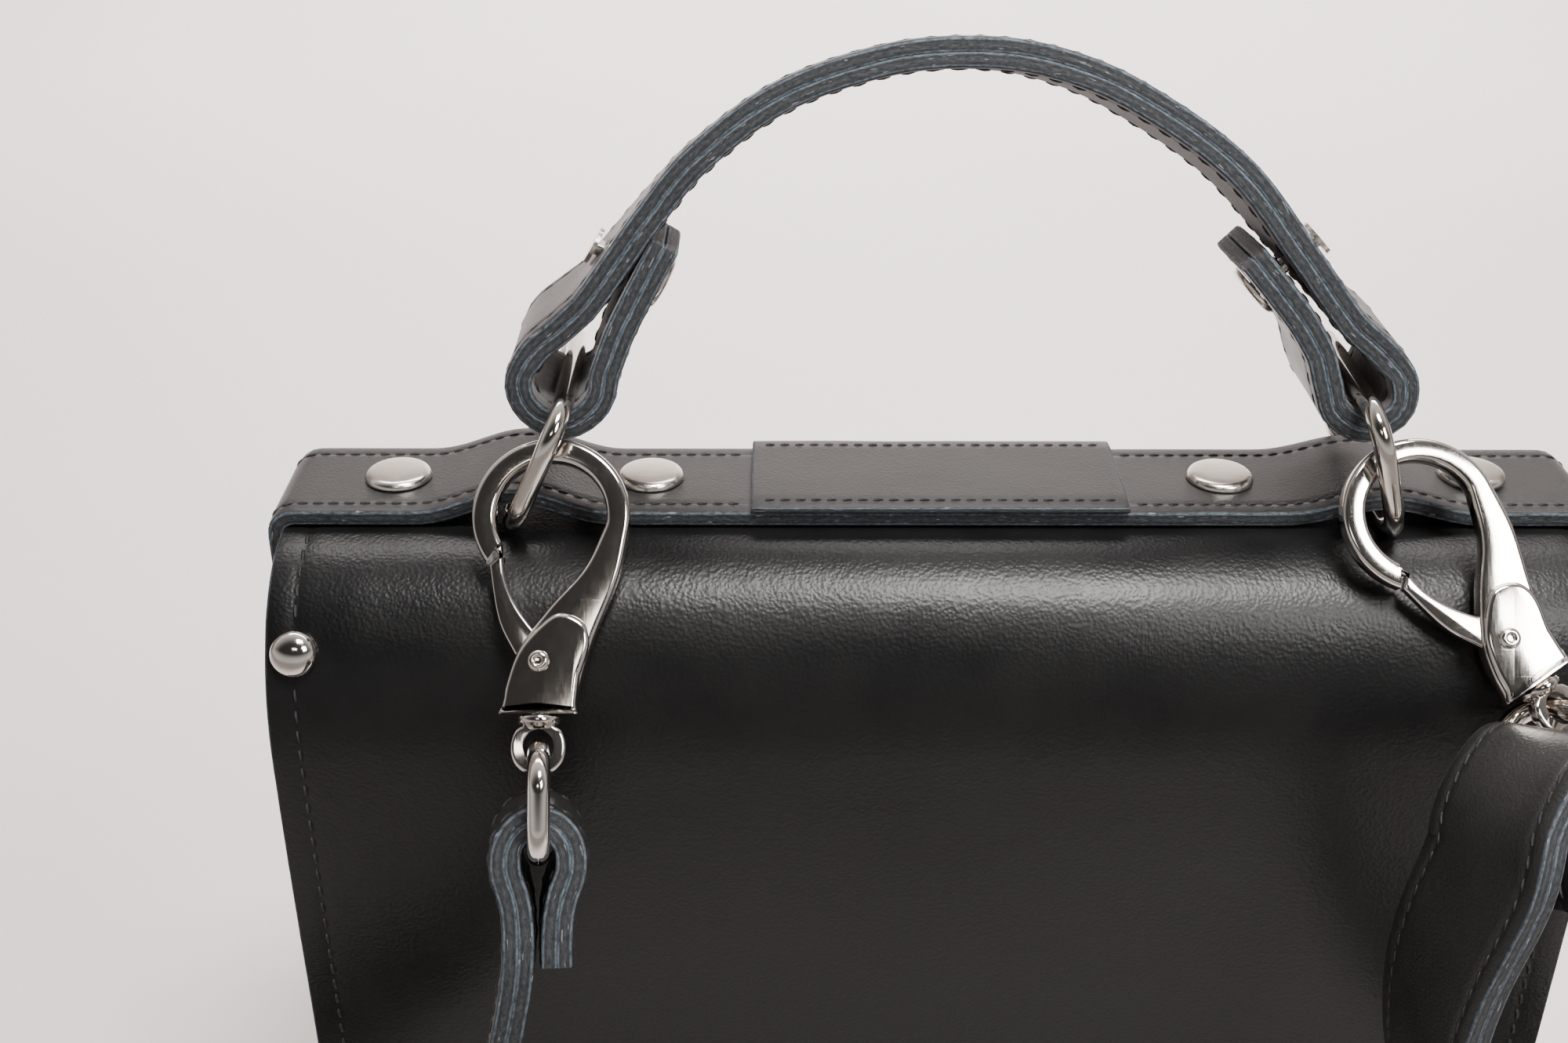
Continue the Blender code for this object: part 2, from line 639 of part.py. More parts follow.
def make_swivel(side, frame, metal):
    """The swivel: a stud in the hook's foot, a collar and an eye turned to face the link ring."""
    up = frame.to_3x3() @ Vector((0, 1, 0))
    facing = -Vector(LINK_SEATS[side]["along"]).normalized()
    facing = (facing - up * facing.dot(up)).normalized()
    upright = axes_frame(frame.translation, facing.cross(up), up)
    profile = [
        (0, -6.8 * MM),
        (1.7 * MM, -6.8 * MM),
        (1.7 * MM, -10.5 * MM),
        (3.9 * MM, -10.5 * MM),
        (4.3 * MM, -11.0 * MM),
        (4.3 * MM, -12.0 * MM),
        (3.0 * MM, -12.6 * MM),
        (0, -12.6 * MM),
    ]
    swivel = add_object(f"swivel_{side}", lathe(profile, upright, 14), metal, 35)
    flat = Matrix.Translation(frame.translation) @ Matrix((up.cross(facing), up, facing)).transposed().to_4x4()
    eye = mm_points([(2.9, -12.0), (4.9, -13.8), (5.4, -16.6), (4.4, -20.2), (2.2, -21.8)])
    outline = eye + [(-x, y) for x, y in eye[::-1]]
    join(swivel, extrude_outline(outline, flat, -1.35 * MM, 1.35 * MM), f"swivel_eye_{side}")
    turns = np.radians(range(0, 360, 24))
    hole = [(3.0 * MM * math.cos(a), -EYE_DROP - 0.2 * MM + 3.4 * MM * math.sin(a)) for a in turns]
    cut(swivel, extrude_outline(hole, flat, -4 * MM, 4 * MM), f"swivel_hole_{side}")
    return swivel


# ---------------------------------------------------------------- shoulder strap


def link_frame(side):
    """Placement of a link ring: its first long bar in the swivel's eye, local Z down its hang."""
    seat = LINK_SEATS[side]
    along = Vector(seat["along"]).normalized()
    down = Vector(seat["down"])
    down = (down - along * down.dot(along)).normalized()
    start = hook_frame(side) @ Vector((0, -EYE_DROP, 0)) - along * seat["shift"]
    return Matrix.Translation(start) @ Matrix((along.cross(down), along, down)).transposed().to_4x4()


# The strap's seam round each link ring's second bar, in mm from the middle of the bar: up from the
# folded end, over the bar and down into the leg.
OVER_BAR = [(-5.5, -2.0), (-2.2, -5.5), (2.2, -5.5), (5.5, -2.0)]
STRAP_LOOPS = {
    "left": [(-3.5, 21), (-3.5, 14), (-4.4, 8), (-6.0, 3.2), *OVER_BAR, (6.0, 3.2), (4.4, 8), (3.5, 14), (3.5, 21)],
    "right": [
        (-13.6, 18.2), (-8.5, 15.6), (-5.4, 12.2), (-4.7, 8), (-6.0, 3.2), *OVER_BAR,
        (6.0, 3.6), (4.8, 10), (2.4, 16), (-2.2, 21.6),
    ],
}  # fmt: skip

# The rest of the strap's seam, (x, z) in mm: down each leg, out to the side and to the ground
STRAP_LEGS = {
    "left": [(-86.5, 138), (-91, 119), (-102, 98), (-124, 78), (-156, 62), (-186, 48), (-203, 29), (-192, 10)],
    "right": [(94.2, 158), (93.6, 140), (97, 120), (107, 100), (126, 80), (156, 63), (186, 49), (203, 29), (192, 10)],
}
STRAP_LAY_Y = -84 * MM


def loop_points(side):
    place = link_frame(side)
    return [place @ Vector((x * MM, 0, LINK_RING[0] + z * MM)) for x, z in STRAP_LOOPS[side]]


def blend_steps(distance, start, length):
    share = min(max((distance - start) / length, 0), 1)
    return share * share * (3 - 2 * share)


def strap_route():
    """Middle of the shoulder strap's seam and its edge-to-edge directions, end to end."""
    floor = PLY + GAP + 0.2 * MM
    lay = [(x * MM, STRAP_LAY_Y, floor) for x in range(-160, 161, 40)]
    loops = {side: loop_points(side) for side in STRAP_LOOPS}
    legs = {side: [(x * MM, STRAP_LAY_Y, z * MM) for x, z in STRAP_LEGS[side]] for side in STRAP_LEGS}
    points = loops["left"] + legs["left"] + lay + legs["right"][::-1] + loops["right"][::-1]
    spacing = np.full(len(points) - 1, 9 * MM)
    spacing[: len(loops["left"])] = 3.2 * MM
    spacing[-len(loops["right"]) :] = 3.2 * MM
    route = smooth_route([tuple(point) for point in points], spacing)
    route[:, 2] = np.maximum(route[:, 2], floor)

    steps = np.concatenate([[0], np.cumsum(np.linalg.norm(np.diff(route, axis=0), axis=1))])
    level = np.array([0, 1.0, 0])
    yawed = np.array([-0.18, 0.98, 0])
    at_left, at_right = (np.array(link_frame(side).col[1])[:3] for side in ("left", "right"))
    widths = []
    for run in steps:
        if run < steps[-1] / 2:
            share = blend_steps(run, 48 * MM, 50 * MM)
            widths.append(at_left * (1 - share) + level * share)
        else:
            run = steps[-1] - run
            share, later = blend_steps(run, 34 * MM, 90 * MM), blend_steps(run, 120 * MM, 120 * MM)
            widths.append(at_right * (1 - share) + (yawed * (1 - later) + level * later) * share)
    return route, unit(np.array(widths))


def make_shoulder_strap(leather):
    route, widths = strap_route()
    for name, offset in (("strap_outer_ply", PLY_OFFSET), ("strap_inner_ply", -PLY_OFFSET)):
        add_object(name, ribbon(route, widths, STRAP_WIDTH, PLY, offset), leather, 30)


# ---------------------------------------------------------------- turn lock


def make_lock(metal):
    """The turn lock: a base and turning knob on the front, a framed slot on the flap."""
    front_face = FLAP_Y - LEATHER - GAP
    frame = axes_frame((0, front_face, LOCK_Z), (1, 0, 0), (0, 1, 0))
    back = -(LEATHER + GAP)
    profile = [
        (0, -0.9 * MM + back),
        (7.0 * MM, -0.9 * MM + back),
        (7.0 * MM, back),
        (4.0 * MM, back),
        (4.0 * MM, -0.2 * MM),
        (2.6 * MM, -0.2 * MM),
        (2.6 * MM, 5.3 * MM),
        (0, 5.3 * MM),
    ]
    add_object("lock_base", lathe(profile, frame, 20), metal, 35)
    knob_outline = [(5.6 * MM * math.cos(a), 2.3 * MM * math.sin(a)) for a in np.radians(range(0, 360, 20))]
    add_object("lock_knob", extrude_outline(knob_outline, frame, 5.6 * MM, 9.6 * MM), metal, 35)
    plate_low = FLAP_Y + GAP - front_face
    outline = arc((12 * MM, 0), 10 * MM, -90, 90, 9) + arc((-12 * MM, 0), 10 * MM, 90, 270, 9)
    plate = add_object("lock_plate", extrude_outline(outline, frame, plate_low, plate_low + 1.5 * MM), metal, 35)
    slot = mm_points([(-6.2, -4.2), (6.2, -4.2), (6.2, 4.2), (-6.2, 4.2)])
    cut(plate, extrude_outline(slot, frame, -2 * MM, 20 * MM), "plate_slot")


# ---------------------------------------------------------------- assembly


def main():
    clear_scene()
    leather = make_material("black_leather", (0.012, 0.012, 0.013), 0.42)
    strap_leather = make_material("strap_leather", (0.02, 0.022, 0.025), 0.5)
    nickel = make_material("polished_nickel", (0.78, 0.74, 0.69), 0.16, 1.0)

    back = make_back_panel(leather)
    front = make_front_panel(leather)
    make_base_panel(leather)
    gussets = {side: make_gusset(f"gusset_{name}", side, leather) for side, name in ((-1, "left"), (1, "right"))}
    make_flap(leather)
    make_top_strip(leather)
    make_label_patch(leather)
    for number, x in enumerate(RIVET_X, 1):
        make_strip_rivet(f"strip_rivet_{number}", x, nickel)
    for side, name in ((-1, "left"), (1, "right")):
        make_dome_rivet(f"corner_rivet_{name}", side, BACK_Y, (back, gussets[side]), nickel)

    for side in ("left", "right"):
        add_object(f"ring_{side}", ring_mesh(seat_frame(side), STRIP_RING), nickel, 40)
        frame = hook_frame(side)
        make_hook_body(side, frame, nickel)
        make_gate(side, frame, nickel)
        make_gate_pin(side, frame, nickel)
        make_swivel(side, frame, nickel)
        add_object(f"link_ring_{side}", ring_mesh(link_frame(side), LINK_RING), nickel, 40)

    make_handle(strap_leather, nickel)
    make_shoulder_strap(strap_leather)
    make_lock(nickel)


main()
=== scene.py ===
"""Looks of the leather satchel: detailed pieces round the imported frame, light, floor and camera."""

import json
import math

import bpy
import numpy as np
from mathutils import Matrix, Vector, noise


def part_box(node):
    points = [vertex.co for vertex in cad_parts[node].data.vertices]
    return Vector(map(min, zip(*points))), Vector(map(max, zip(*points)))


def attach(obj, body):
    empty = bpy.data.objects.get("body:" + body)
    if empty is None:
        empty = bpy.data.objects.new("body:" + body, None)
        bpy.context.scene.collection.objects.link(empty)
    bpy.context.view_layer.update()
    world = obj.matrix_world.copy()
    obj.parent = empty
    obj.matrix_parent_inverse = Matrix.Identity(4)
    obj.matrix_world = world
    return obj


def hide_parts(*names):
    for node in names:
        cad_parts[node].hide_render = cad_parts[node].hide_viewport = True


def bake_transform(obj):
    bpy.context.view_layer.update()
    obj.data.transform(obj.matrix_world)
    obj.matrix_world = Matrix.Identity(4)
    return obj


MM = 0.001
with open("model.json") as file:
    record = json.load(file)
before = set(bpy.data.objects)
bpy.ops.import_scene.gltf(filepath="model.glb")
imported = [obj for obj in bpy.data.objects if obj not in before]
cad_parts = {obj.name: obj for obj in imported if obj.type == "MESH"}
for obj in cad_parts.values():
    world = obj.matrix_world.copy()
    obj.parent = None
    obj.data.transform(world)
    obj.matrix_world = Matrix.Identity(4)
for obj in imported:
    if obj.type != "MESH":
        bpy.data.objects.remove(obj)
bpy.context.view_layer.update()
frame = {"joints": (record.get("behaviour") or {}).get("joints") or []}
JOINTS = {joint["name"]: joint for joint in frame["joints"]}


# ---------------------------------------------------------------- sizes read from the frame

HALF_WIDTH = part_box("back_panel")[1].x
BACK_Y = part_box("back_panel")[0].y
FLAP_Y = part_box("flap")[1].y
FLAP_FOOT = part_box("flap")[0].z
TOP_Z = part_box("back_panel")[1].z
STRIP_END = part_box("top_strip")[1].x
STRIP_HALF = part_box("top_strip")[1].y
STRIP_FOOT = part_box("top_strip")[0].z
HEIGHT = STRIP_FOOT + 26 * MM  # top face of the strip between its humps
LOCK_Z = JOINTS["lock_turn"]["pos_m"][2]
CORNER_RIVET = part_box("corner_rivet_left")
CORNER_RIVET_Z = (CORNER_RIVET[0].z + CORNER_RIVET[1].z) / 2
RIVET_BOXES = [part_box(f"strip_rivet_{number}") for number in (1, 2, 3, 4)]
RIVET_X = [(low.x + high.x) / 2 for low, high in RIVET_BOXES]

LEATHER = 3 * MM
STRIP_THICK = 3.3 * MM
PLY = 3.0 * MM
GAP = 0.3 * MM
PLY_OFFSET = 0.5 * (PLY + GAP)
HANDLE_WIDTH = 30 * MM
STRAP_WIDTH = 28 * MM
SHOULDER_START = 14 * MM
SHOULDER_DROP = 40 * MM
SHOULDER_POWER = 2.2
EDGE = 0.55 * MM  # rounding along a cut edge of leather
SEAM_INSET = 6 * MM  # stitching inside the side edges of the body
SEAM_X = HALF_WIDTH - SEAM_INSET
STRIP_SEAM = 3.6 * MM  # stitching inside the edges of each strap
HANDLE_SEAM = 3.4 * MM
STRAP_SEAM = 3.2 * MM
HUMP_REACH = 21 * MM  # from a ring's bar to where the strip lies flat

RING_WIRE = 2.1 * MM
STRIP_RING = (28.5 * MM, 24.4 * MM, 9 * MM)
LINK_RING = (17.5 * MM, 18.6 * MM, 5.5 * MM)
RING_LEAN = {"left": math.radians(24.4), "right": math.radians(-16.2)}
EYE_DROP = 16.4 * MM
LINK_SEATS = {
    "left": {"along": (-0.13, 0.86, -0.49), "down": (0.0, -0.5, -0.86), "shift": 9.4 * MM},
    "right": {"along": (-0.45, 0.80, -0.40), "down": (-0.71, -0.60, -0.375), "shift": 11.6 * MM},
}
BOW_CENTRE = (1.5 * MM, 29.4 * MM)
BOW_RADIUS = 13.5 * MM
BOW_BAR = 4.7 * MM


# ---------------------------------------------------------------- node materials


class Graph:
    """A Principled material whose nodes are added by name."""

    def __init__(self, name, colour, roughness, metallic=0.0):
        self.material = bpy.data.materials.new(name)
        self.material.use_nodes = True
        self.tree = self.material.node_tree
        self.shader = self.tree.nodes["Principled BSDF"]
        self.shader.inputs["Base Color"].default_value = (*colour, 1)
        self.shader.inputs["Roughness"].default_value = roughness
        self.shader.inputs["Metallic"].default_value = metallic

    def add(self, kind, settings=None, **values):
        node = self.tree.nodes.new("ShaderNode" + kind)
        for name, value in (settings or {}).items():
            setattr(node, name, value)
        for name, value in values.items():
            node.inputs[name.replace("_", " ")].default_value = value
        return node

    def join(self, source, output, target, inlet):
        self.tree.links.new(source.outputs[output], target.inputs[inlet])

    def coordinates(self, kind="Object", scale=(1, 1, 1)):
        """Object or UV coordinates in metres, stretched by scale."""
        source = self.add("TexCoord")
        mapping = self.add("Mapping", Scale=scale)
        self.join(source, kind, mapping, "Vector")
        return mapping

    def noise(self, place, scale, detail=3.0, roughness=0.5):
        texture = self.add("TexNoise", Scale=scale, Detail=detail, Roughness=roughness)
        self.join(place, "Vector", texture, "Vector")
        return texture

    def ramp(self, source, output, stops):
        ramp = self.add("ValToRGB")
        elements = ramp.color_ramp.elements
        while len(elements) < len(stops):
            elements.new(0.5)
        for element, (position, colour) in zip(elements, stops):
            element.position = position
            element.color = (*colour, 1)
        self.join(source, output, ramp, "Fac")
        return ramp

    def map_range(self, source, output, start, end, low, high):
        node = self.add("MapRange", From_Min=start, From_Max=end, To_Min=low, To_Max=high)
        self.join(source, output, node, "Value")
        return node

    def mix(self, share, a, b, blend="MIX"):
        """Mixes two (node, output) or colour sources by a (node, output) or number."""
        node = self.add("Mix", {"data_type": "RGBA", "blend_type": blend})
        for inlet, source in ((0, share), (6, a), (7, b)):
            if isinstance(source, tuple) and hasattr(source[0], "outputs"):
                self.tree.links.new(source[0].outputs[source[1]], node.inputs[inlet])
            elif isinstance(source, tuple):
                node.inputs[inlet].default_value = (*source, 1)
            else:
                node.inputs[inlet].default_value = source
        return node

    def maths(self, operation, a, b=0.0, clamp=False):
        node = self.add("Math", {"operation": operation, "use_clamp": clamp})
        for inlet, source in ((0, a), (1, b)):
            if isinstance(source, tuple):
                self.tree.links.new(source[0].outputs[source[1]], node.inputs[inlet])
            else:
                node.inputs[inlet].default_value = source
        return node

    def bump(self, source, output, strength, depth, below=None):
        node = self.add("Bump", Strength=strength, Distance=depth)
        self.join(source, output, node, "Height")
        if below is not None:
            self.join(below, "Normal", node, "Normal")
        return node

    def set_normal(self, bump):
        self.join(bump, "Normal", self.shader, "Normal")


def add_creases(graph, place, middle, below):
    """A patch of fine upright creases in the leather round a point of the body."""
    parts = graph.add("SeparateXYZ")
    graph.join(place, "Vector", parts, "Vector")
    squares = []
    for axis, at, reach in (("X", middle[0], 13 * MM), ("Z", middle[1], 15 * MM)):
        away = graph.maths("SUBTRACT", (parts, axis), at)
        share = graph.maths("DIVIDE", (away, "Value"), reach)
        squares.append(graph.maths("MULTIPLY", (share, "Value"), (share, "Value")))
    distance = graph.maths("ADD", (squares[0], "Value"), (squares[1], "Value"))
    patch = graph.maths("SUBTRACT", 1.0, (distance, "Value"), True)
    lines = graph.noise(graph.coordinates("Object", (900, 90, 60)), 1.0, 3, 0.6)
    ridges = graph.ramp(lines, "Fac", [(0.42, (1, 1, 1)), (0.5, (0, 0, 0)), (0.58, (1, 1, 1))])
    side = graph.maths("LESS_THAN", (parts, "Y"), 0.0)
    local = graph.maths("MULTIPLY", (patch, "Value"), (side, "Value"))
    height = graph.mix((local, "Value"), (1, 1, 1), (ridges, "Color"))
    return graph.bump(height, 2, 0.35, 0.12 * MM, below)


def grain_leather(name, colour, worn, roughness, cell, depth, gloss, creased=None):
    """Finished black leather: fine pebbles, soft creases, and a slightly uneven sheen."""
    graph = Graph(name, colour, roughness)
    place = graph.coordinates()
    warp = graph.noise(place, 260, 2)
    moved = graph.mix(0.0012, (place, "Vector"), (warp, "Color"), "ADD")
    pebbles = graph.add("TexVoronoi", {"feature": "SMOOTH_F1"}, Scale=1 / cell, Smoothness=0.6)
    graph.join(moved, 2, pebbles, "Vector")
    fine = graph.noise(place, 2600, 3)
    broad = graph.noise(place, 42, 3, 0.6)
    colour_ramp = graph.ramp(broad, "Fac", [(0.32, colour), (0.72, worn)])
    graph.join(colour_ramp, "Color", graph.shader, "Base Color")
    rough = graph.map_range(broad, "Fac", 0.25, 0.75, roughness - 0.05, roughness + 0.07)
    graph.join(rough, "Result", graph.shader, "Roughness")
    low = graph.bump(broad, "Fac", 0.25, 0.9 * MM)
    middle = graph.bump(pebbles, "Distance", 0.55, depth, low)
    last = graph.bump(fine, "Fac", 0.25, depth * 0.5, middle)
    if creased is not None:
        last = add_creases(graph, place, creased, last)
    graph.set_normal(last)
    graph.shader.inputs["Specular IOR Level"].default_value = gloss
    graph.shader.inputs["Coat Weight"].default_value = 0.06
    graph.shader.inputs["Coat Roughness"].default_value = 0.32
    return graph.material


def raw_edge():
    """A cut edge: charcoal fibres between two bluish grey borders that are painted highlights along its
    rounded rims, with pale rubbed chips.
    """
    graph = Graph("cut_edge", (0.03, 0.033, 0.036), 0.72)
    place = graph.coordinates("UV")
    parts = graph.add("SeparateXYZ")
    graph.join(place, "Vector", parts, "Vector")
    fibres = graph.noise(graph.coordinates("UV", (420, 3.4, 1)), 1.6, 6, 0.72)
    grime = graph.noise(graph.coordinates("UV", (90, 1.2, 1)), 1.0, 3)
    wobble = graph.maths("MULTIPLY_ADD", (grime, "Fac"), 0.16)
    wobble.inputs[2].default_value = -0.08
    across = graph.maths("ADD", (parts, "Y"), (wobble, "Value"))
    # The bluish grey bands near both rims of the edge are painted highlights where its rounded corners catch
    # the light; the grey core, the fibres and the pale chips are the edge's own colour.
    black, rim_highlight = (0.006, 0.007, 0.008), (0.078, 0.104, 0.124)
    grey, dark = (0.032, 0.036, 0.040), (0.012, 0.013, 0.015)
    stops = [(0.0, black), (0.13, rim_highlight), (0.24, dark), (0.5, grey), (0.76, dark), (0.87, rim_highlight), (1.0, black)]
    bands = graph.ramp(across, "Value", stops)
    shade = graph.ramp(fibres, "Fac", [(0.36, (0.2, 0.2, 0.2)), (0.64, (1.9, 1.9, 1.9))])
    fibrous = graph.mix(1.0, (bands, "Color"), (shade, "Color"), "MULTIPLY")
    chips = graph.noise(graph.coordinates("UV", (260, 5, 1)), 1.0, 2, 0.55)
    chip_share = graph.ramp(chips, "Fac", [(0.66, (0, 0, 0)), (0.70, (0.6, 0.6, 0.6))])
    coloured = graph.mix((chip_share, "Color"), (fibrous, 2), (0.30, 0.31, 0.32))
    graph.join(coloured, 2, graph.shader, "Base Color")
    rough = graph.bump(fibres, "Fac", 0.7, 0.35 * MM)
    graph.set_normal(rough)
    return graph.material


def flesh_side():
    """The unfinished side of the leather: grey-brown nap."""
    graph = Graph("flesh_side", (0.05, 0.045, 0.042), 0.85)
    place = graph.coordinates()
    nap = graph.noise(place, 900, 5, 0.65)
    patches = graph.noise(place, 70, 3)
    tint = graph.ramp(patches, "Fac", [(0.3, (0.034, 0.031, 0.030)), (0.7, (0.070, 0.063, 0.059))])
    graph.join(tint, "Color", graph.shader, "Base Color")
    graph.set_normal(graph.bump(nap, "Fac", 0.8, 0.3 * MM))
    graph.shader.inputs["Sheen Weight"].default_value = 0.25
    return graph.material


def thread():
    """Waxed black thread, its twist seen as slanting ridges."""
    graph = Graph("waxed_thread", (0.006, 0.006, 0.007), 0.5)
    waves = graph.add("TexWave", {"bands_direction": "DIAGONAL"}, Scale=2600, Distortion=0.4)
    graph.join(graph.coordinates(), "Vector", waves, "Vector")
    fuzz = graph.noise(graph.coordinates(), 3000, 2)
    tint = graph.ramp(fuzz, "Fac", [(0.3, (0.004, 0.004, 0.005)), (0.75, (0.016, 0.016, 0.018))])
    graph.join(tint, "Color", graph.shader, "Base Color")
    graph.set_normal(graph.bump(waves, "Fac", 0.5, 0.12 * MM))
    return graph.material


def plated_metal(name, colour, tarnish, roughness):
    """Warm nickel plate: soft polishing marks, faint tarnish and a few hairline scratches."""
    graph = Graph(name, colour, roughness, 1.0)
    place = graph.coordinates()
    clouds = graph.noise(place, 120, 4)
    marks = graph.noise(graph.coordinates("Object", (2600, 300, 300)), 1.0, 3)
    scratches = graph.noise(graph.coordinates("Object", (90, 3200, 700)), 1.0, 2)
    lines = graph.ramp(scratches, "Fac", [(0.66, (0, 0, 0)), (0.70, (1, 1, 1))])
    tint = graph.ramp(clouds, "Fac", [(0.35, colour), (0.8, tarnish)])
    graph.join(tint, "Color", graph.shader, "Base Color")
    mixed = graph.mix(0.3, (marks, "Fac"), (lines, "Color"))
    rough = graph.map_range(mixed, 2, 0.2, 0.9, roughness * 0.7, roughness * 1.7)
    graph.join(rough, "Result", graph.shader, "Roughness")
    graph.set_normal(graph.bump(marks, "Fac", 0.06, 0.05 * MM))
    return graph.material


BODY = grain_leather(
    "body_leather_grain",
    colour=(0.004, 0.004, 0.0042),
    worn=(0.007, 0.007, 0.007),
    roughness=0.35,
    cell=0.8 * MM,
    depth=0.14 * MM,
    gloss=0.27,
    creased=(38 * MM, TOP_Z - 24 * MM),
)
STRAP = grain_leather(
    "strip_leather_grain",
    colour=(0.009, 0.0088, 0.0088),
    worn=(0.016, 0.0152, 0.0148),
    roughness=0.40,
    cell=0.6 * MM,
    depth=0.10 * MM,
    gloss=0.5,
)
CUT = raw_edge()
FLESH = flesh_side()
THREAD = thread()
NICKEL = plated_metal("nickel_plate", (0.80, 0.765, 0.72), (0.66, 0.60, 0.53), 0.10)
CAP = plated_metal("brushed_cap", (0.80, 0.755, 0.69), (0.70, 0.64, 0.56), 0.24)


# ---------------------------------------------------------------- shape tools


def unit(vectors):
    return vectors / np.linalg.norm(vectors, axis=-1, keepdims=True)


def smooth_step(value):
    value = np.clip(value, 0, 1)
    return value * value * (3 - 2 * value)


def bell(distance, width):
    return math.exp(-((distance / width) ** 2))


def smooth_route(points, spacing):
    """Points along a smooth curve through the given points. spacing is one step or one per span."""
    points = np.array(points, float)
    steps = np.linalg.norm(np.diff(points, axis=0), axis=1)
    spacing = np.broadcast_to(spacing, len(steps))
    knots = np.concatenate([[0], np.cumsum(steps)])
    slopes = np.empty_like(points)
    slopes[1:-1] = (points[2:] - points[:-2]) / (knots[2:] - knots[:-2])[:, None]
    slopes[0] = (points[1] - points[0]) / steps[0]
    slopes[-1] = (points[-1] - points[-2]) / steps[-1]
    route = []
    for i, length in enumerate(steps):
        count = max(1, round(length / spacing[i]))
        for k in range(count):
            t = k / count
            route.append(
                (2 * t**3 - 3 * t**2 + 1) * points[i]
                + (t**3 - 2 * t**2 + t) * length * slopes[i]
                + (3 * t**2 - 2 * t**3) * points[i + 1]
                + (t**3 - t**2) * length * slopes[i + 1]
            )
    route.append(points[-1])
    return np.array(route)


def lengths(route):
    """Distance run along a route at each of its points."""
    return np.concatenate([[0], np.cumsum(np.linalg.norm(np.diff(route, axis=0), axis=1))])


def resample(route, values, spacing, start=0.0, stop=0.0):
    """The route and values that go with it, at even steps, leaving start and stop off its ends."""
    run = lengths(route)
    count = max(2, round((run[-1] - start - stop) / spacing) + 1)
    wanted = np.linspace(start, run[-1] - stop, count)

    def sample(array):
        return np.stack([np.interp(wanted, run, column) for column in array.T], 1)

    return sample(route), sample(values)


def arc(centre, radius, start, end, count):
    angles = np.radians(np.linspace(start, end, count))
    return [(centre[0] + radius * math.cos(a), centre[1] + radius * math.sin(a)) for a in angles]


def mm_points(points):
    return [(x * MM, y * MM) for x, y in points]


def axes_frame(origin, x_axis, z_axis):
    """A placement with these local X and Z directions."""
    z_axis = Vector(z_axis).normalized()
    x_axis = (Vector(x_axis) - z_axis * Vector(x_axis).dot(z_axis)).normalized()
    rotation = Matrix((x_axis, z_axis.cross(x_axis), z_axis)).transposed()
    return Matrix.Translation(Vector(origin)) @ rotation.to_4x4()


def shoulder(side_y, inset, count=25):
    """(y, z) points of the body's rounded top edge, from flat to upright."""
    sign = math.copysign(1, side_y)
    reach = abs(side_y) - SHOULDER_START - inset
    points = []
    for angle in np.linspace(0, math.pi / 2, count):
        across = math.sin(angle) ** (2 / SHOULDER_POWER)
        down = 1 - math.cos(angle) ** (2 / SHOULDER_POWER)
        y = sign * (SHOULDER_START + reach * across)
        points.append((y, TOP_Z - inset - (SHOULDER_DROP - inset) * down))
    return points


def grid_faces(rows, columns, start=0, loop_rows=False, loop_columns=False):
    """Quads between rows of vertices, with the rows or the columns closed into loops if asked."""
    faces = []
    for i in range(rows if loop_rows else rows - 1):
        first = start + i * columns
        second = start + (i + 1) % rows * columns
        for j in range(columns if loop_columns else columns - 1):
            k = (j + 1) % columns
            faces.append([first + j, first + k, second + k, second + j])
    return faces


def capped_tube(rows, columns, start=0):
    """Faces of a tube of rings, with one face over each end."""
    faces = grid_faces(rows, columns, start, loop_columns=True)
    faces.append([start + i for i in reversed(range(columns))])
    faces.append([start + (rows - 1) * columns + i for i in range(columns)])
    return faces


def make_object(name, vertices, faces, materials, slots=None, uvs=None, sharp=None):
    """A mesh object. slots gives each face's material, uvs one pair per vertex of each face."""
    mesh = bpy.data.meshes.new(name)
    mesh.from_pydata([tuple(v) for v in vertices], [], faces)
    for material in materials:
        mesh.materials.append(material)
    if slots is not None:
        mesh.polygons.foreach_set("material_index", slots)
    if uvs is not None:
        layer = mesh.uv_layers.new(name="UVMap")
        layer.data.foreach_set("uv", np.array(uvs, float).ravel())
    mesh.shade_smooth()
    if sharp is not None:
        mesh.set_sharp_from_angle(angle=math.radians(sharp))
    mesh.update()
    item = bpy.data.objects.new(name, mesh)
    bpy.context.scene.collection.objects.link(item)
    return item


def place_piece(item, body, slot, *nodes):
    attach(item, body)
    if nodes:
        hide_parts(*nodes)
    return item


def apply_modifiers(item):
    """Makes the modified mesh the object's own."""
    graph = bpy.context.evaluated_depsgraph_get()
    mesh = bpy.data.meshes.new_from_object(item.evaluated_get(graph))
    item.modifiers.clear()
    item.data = mesh


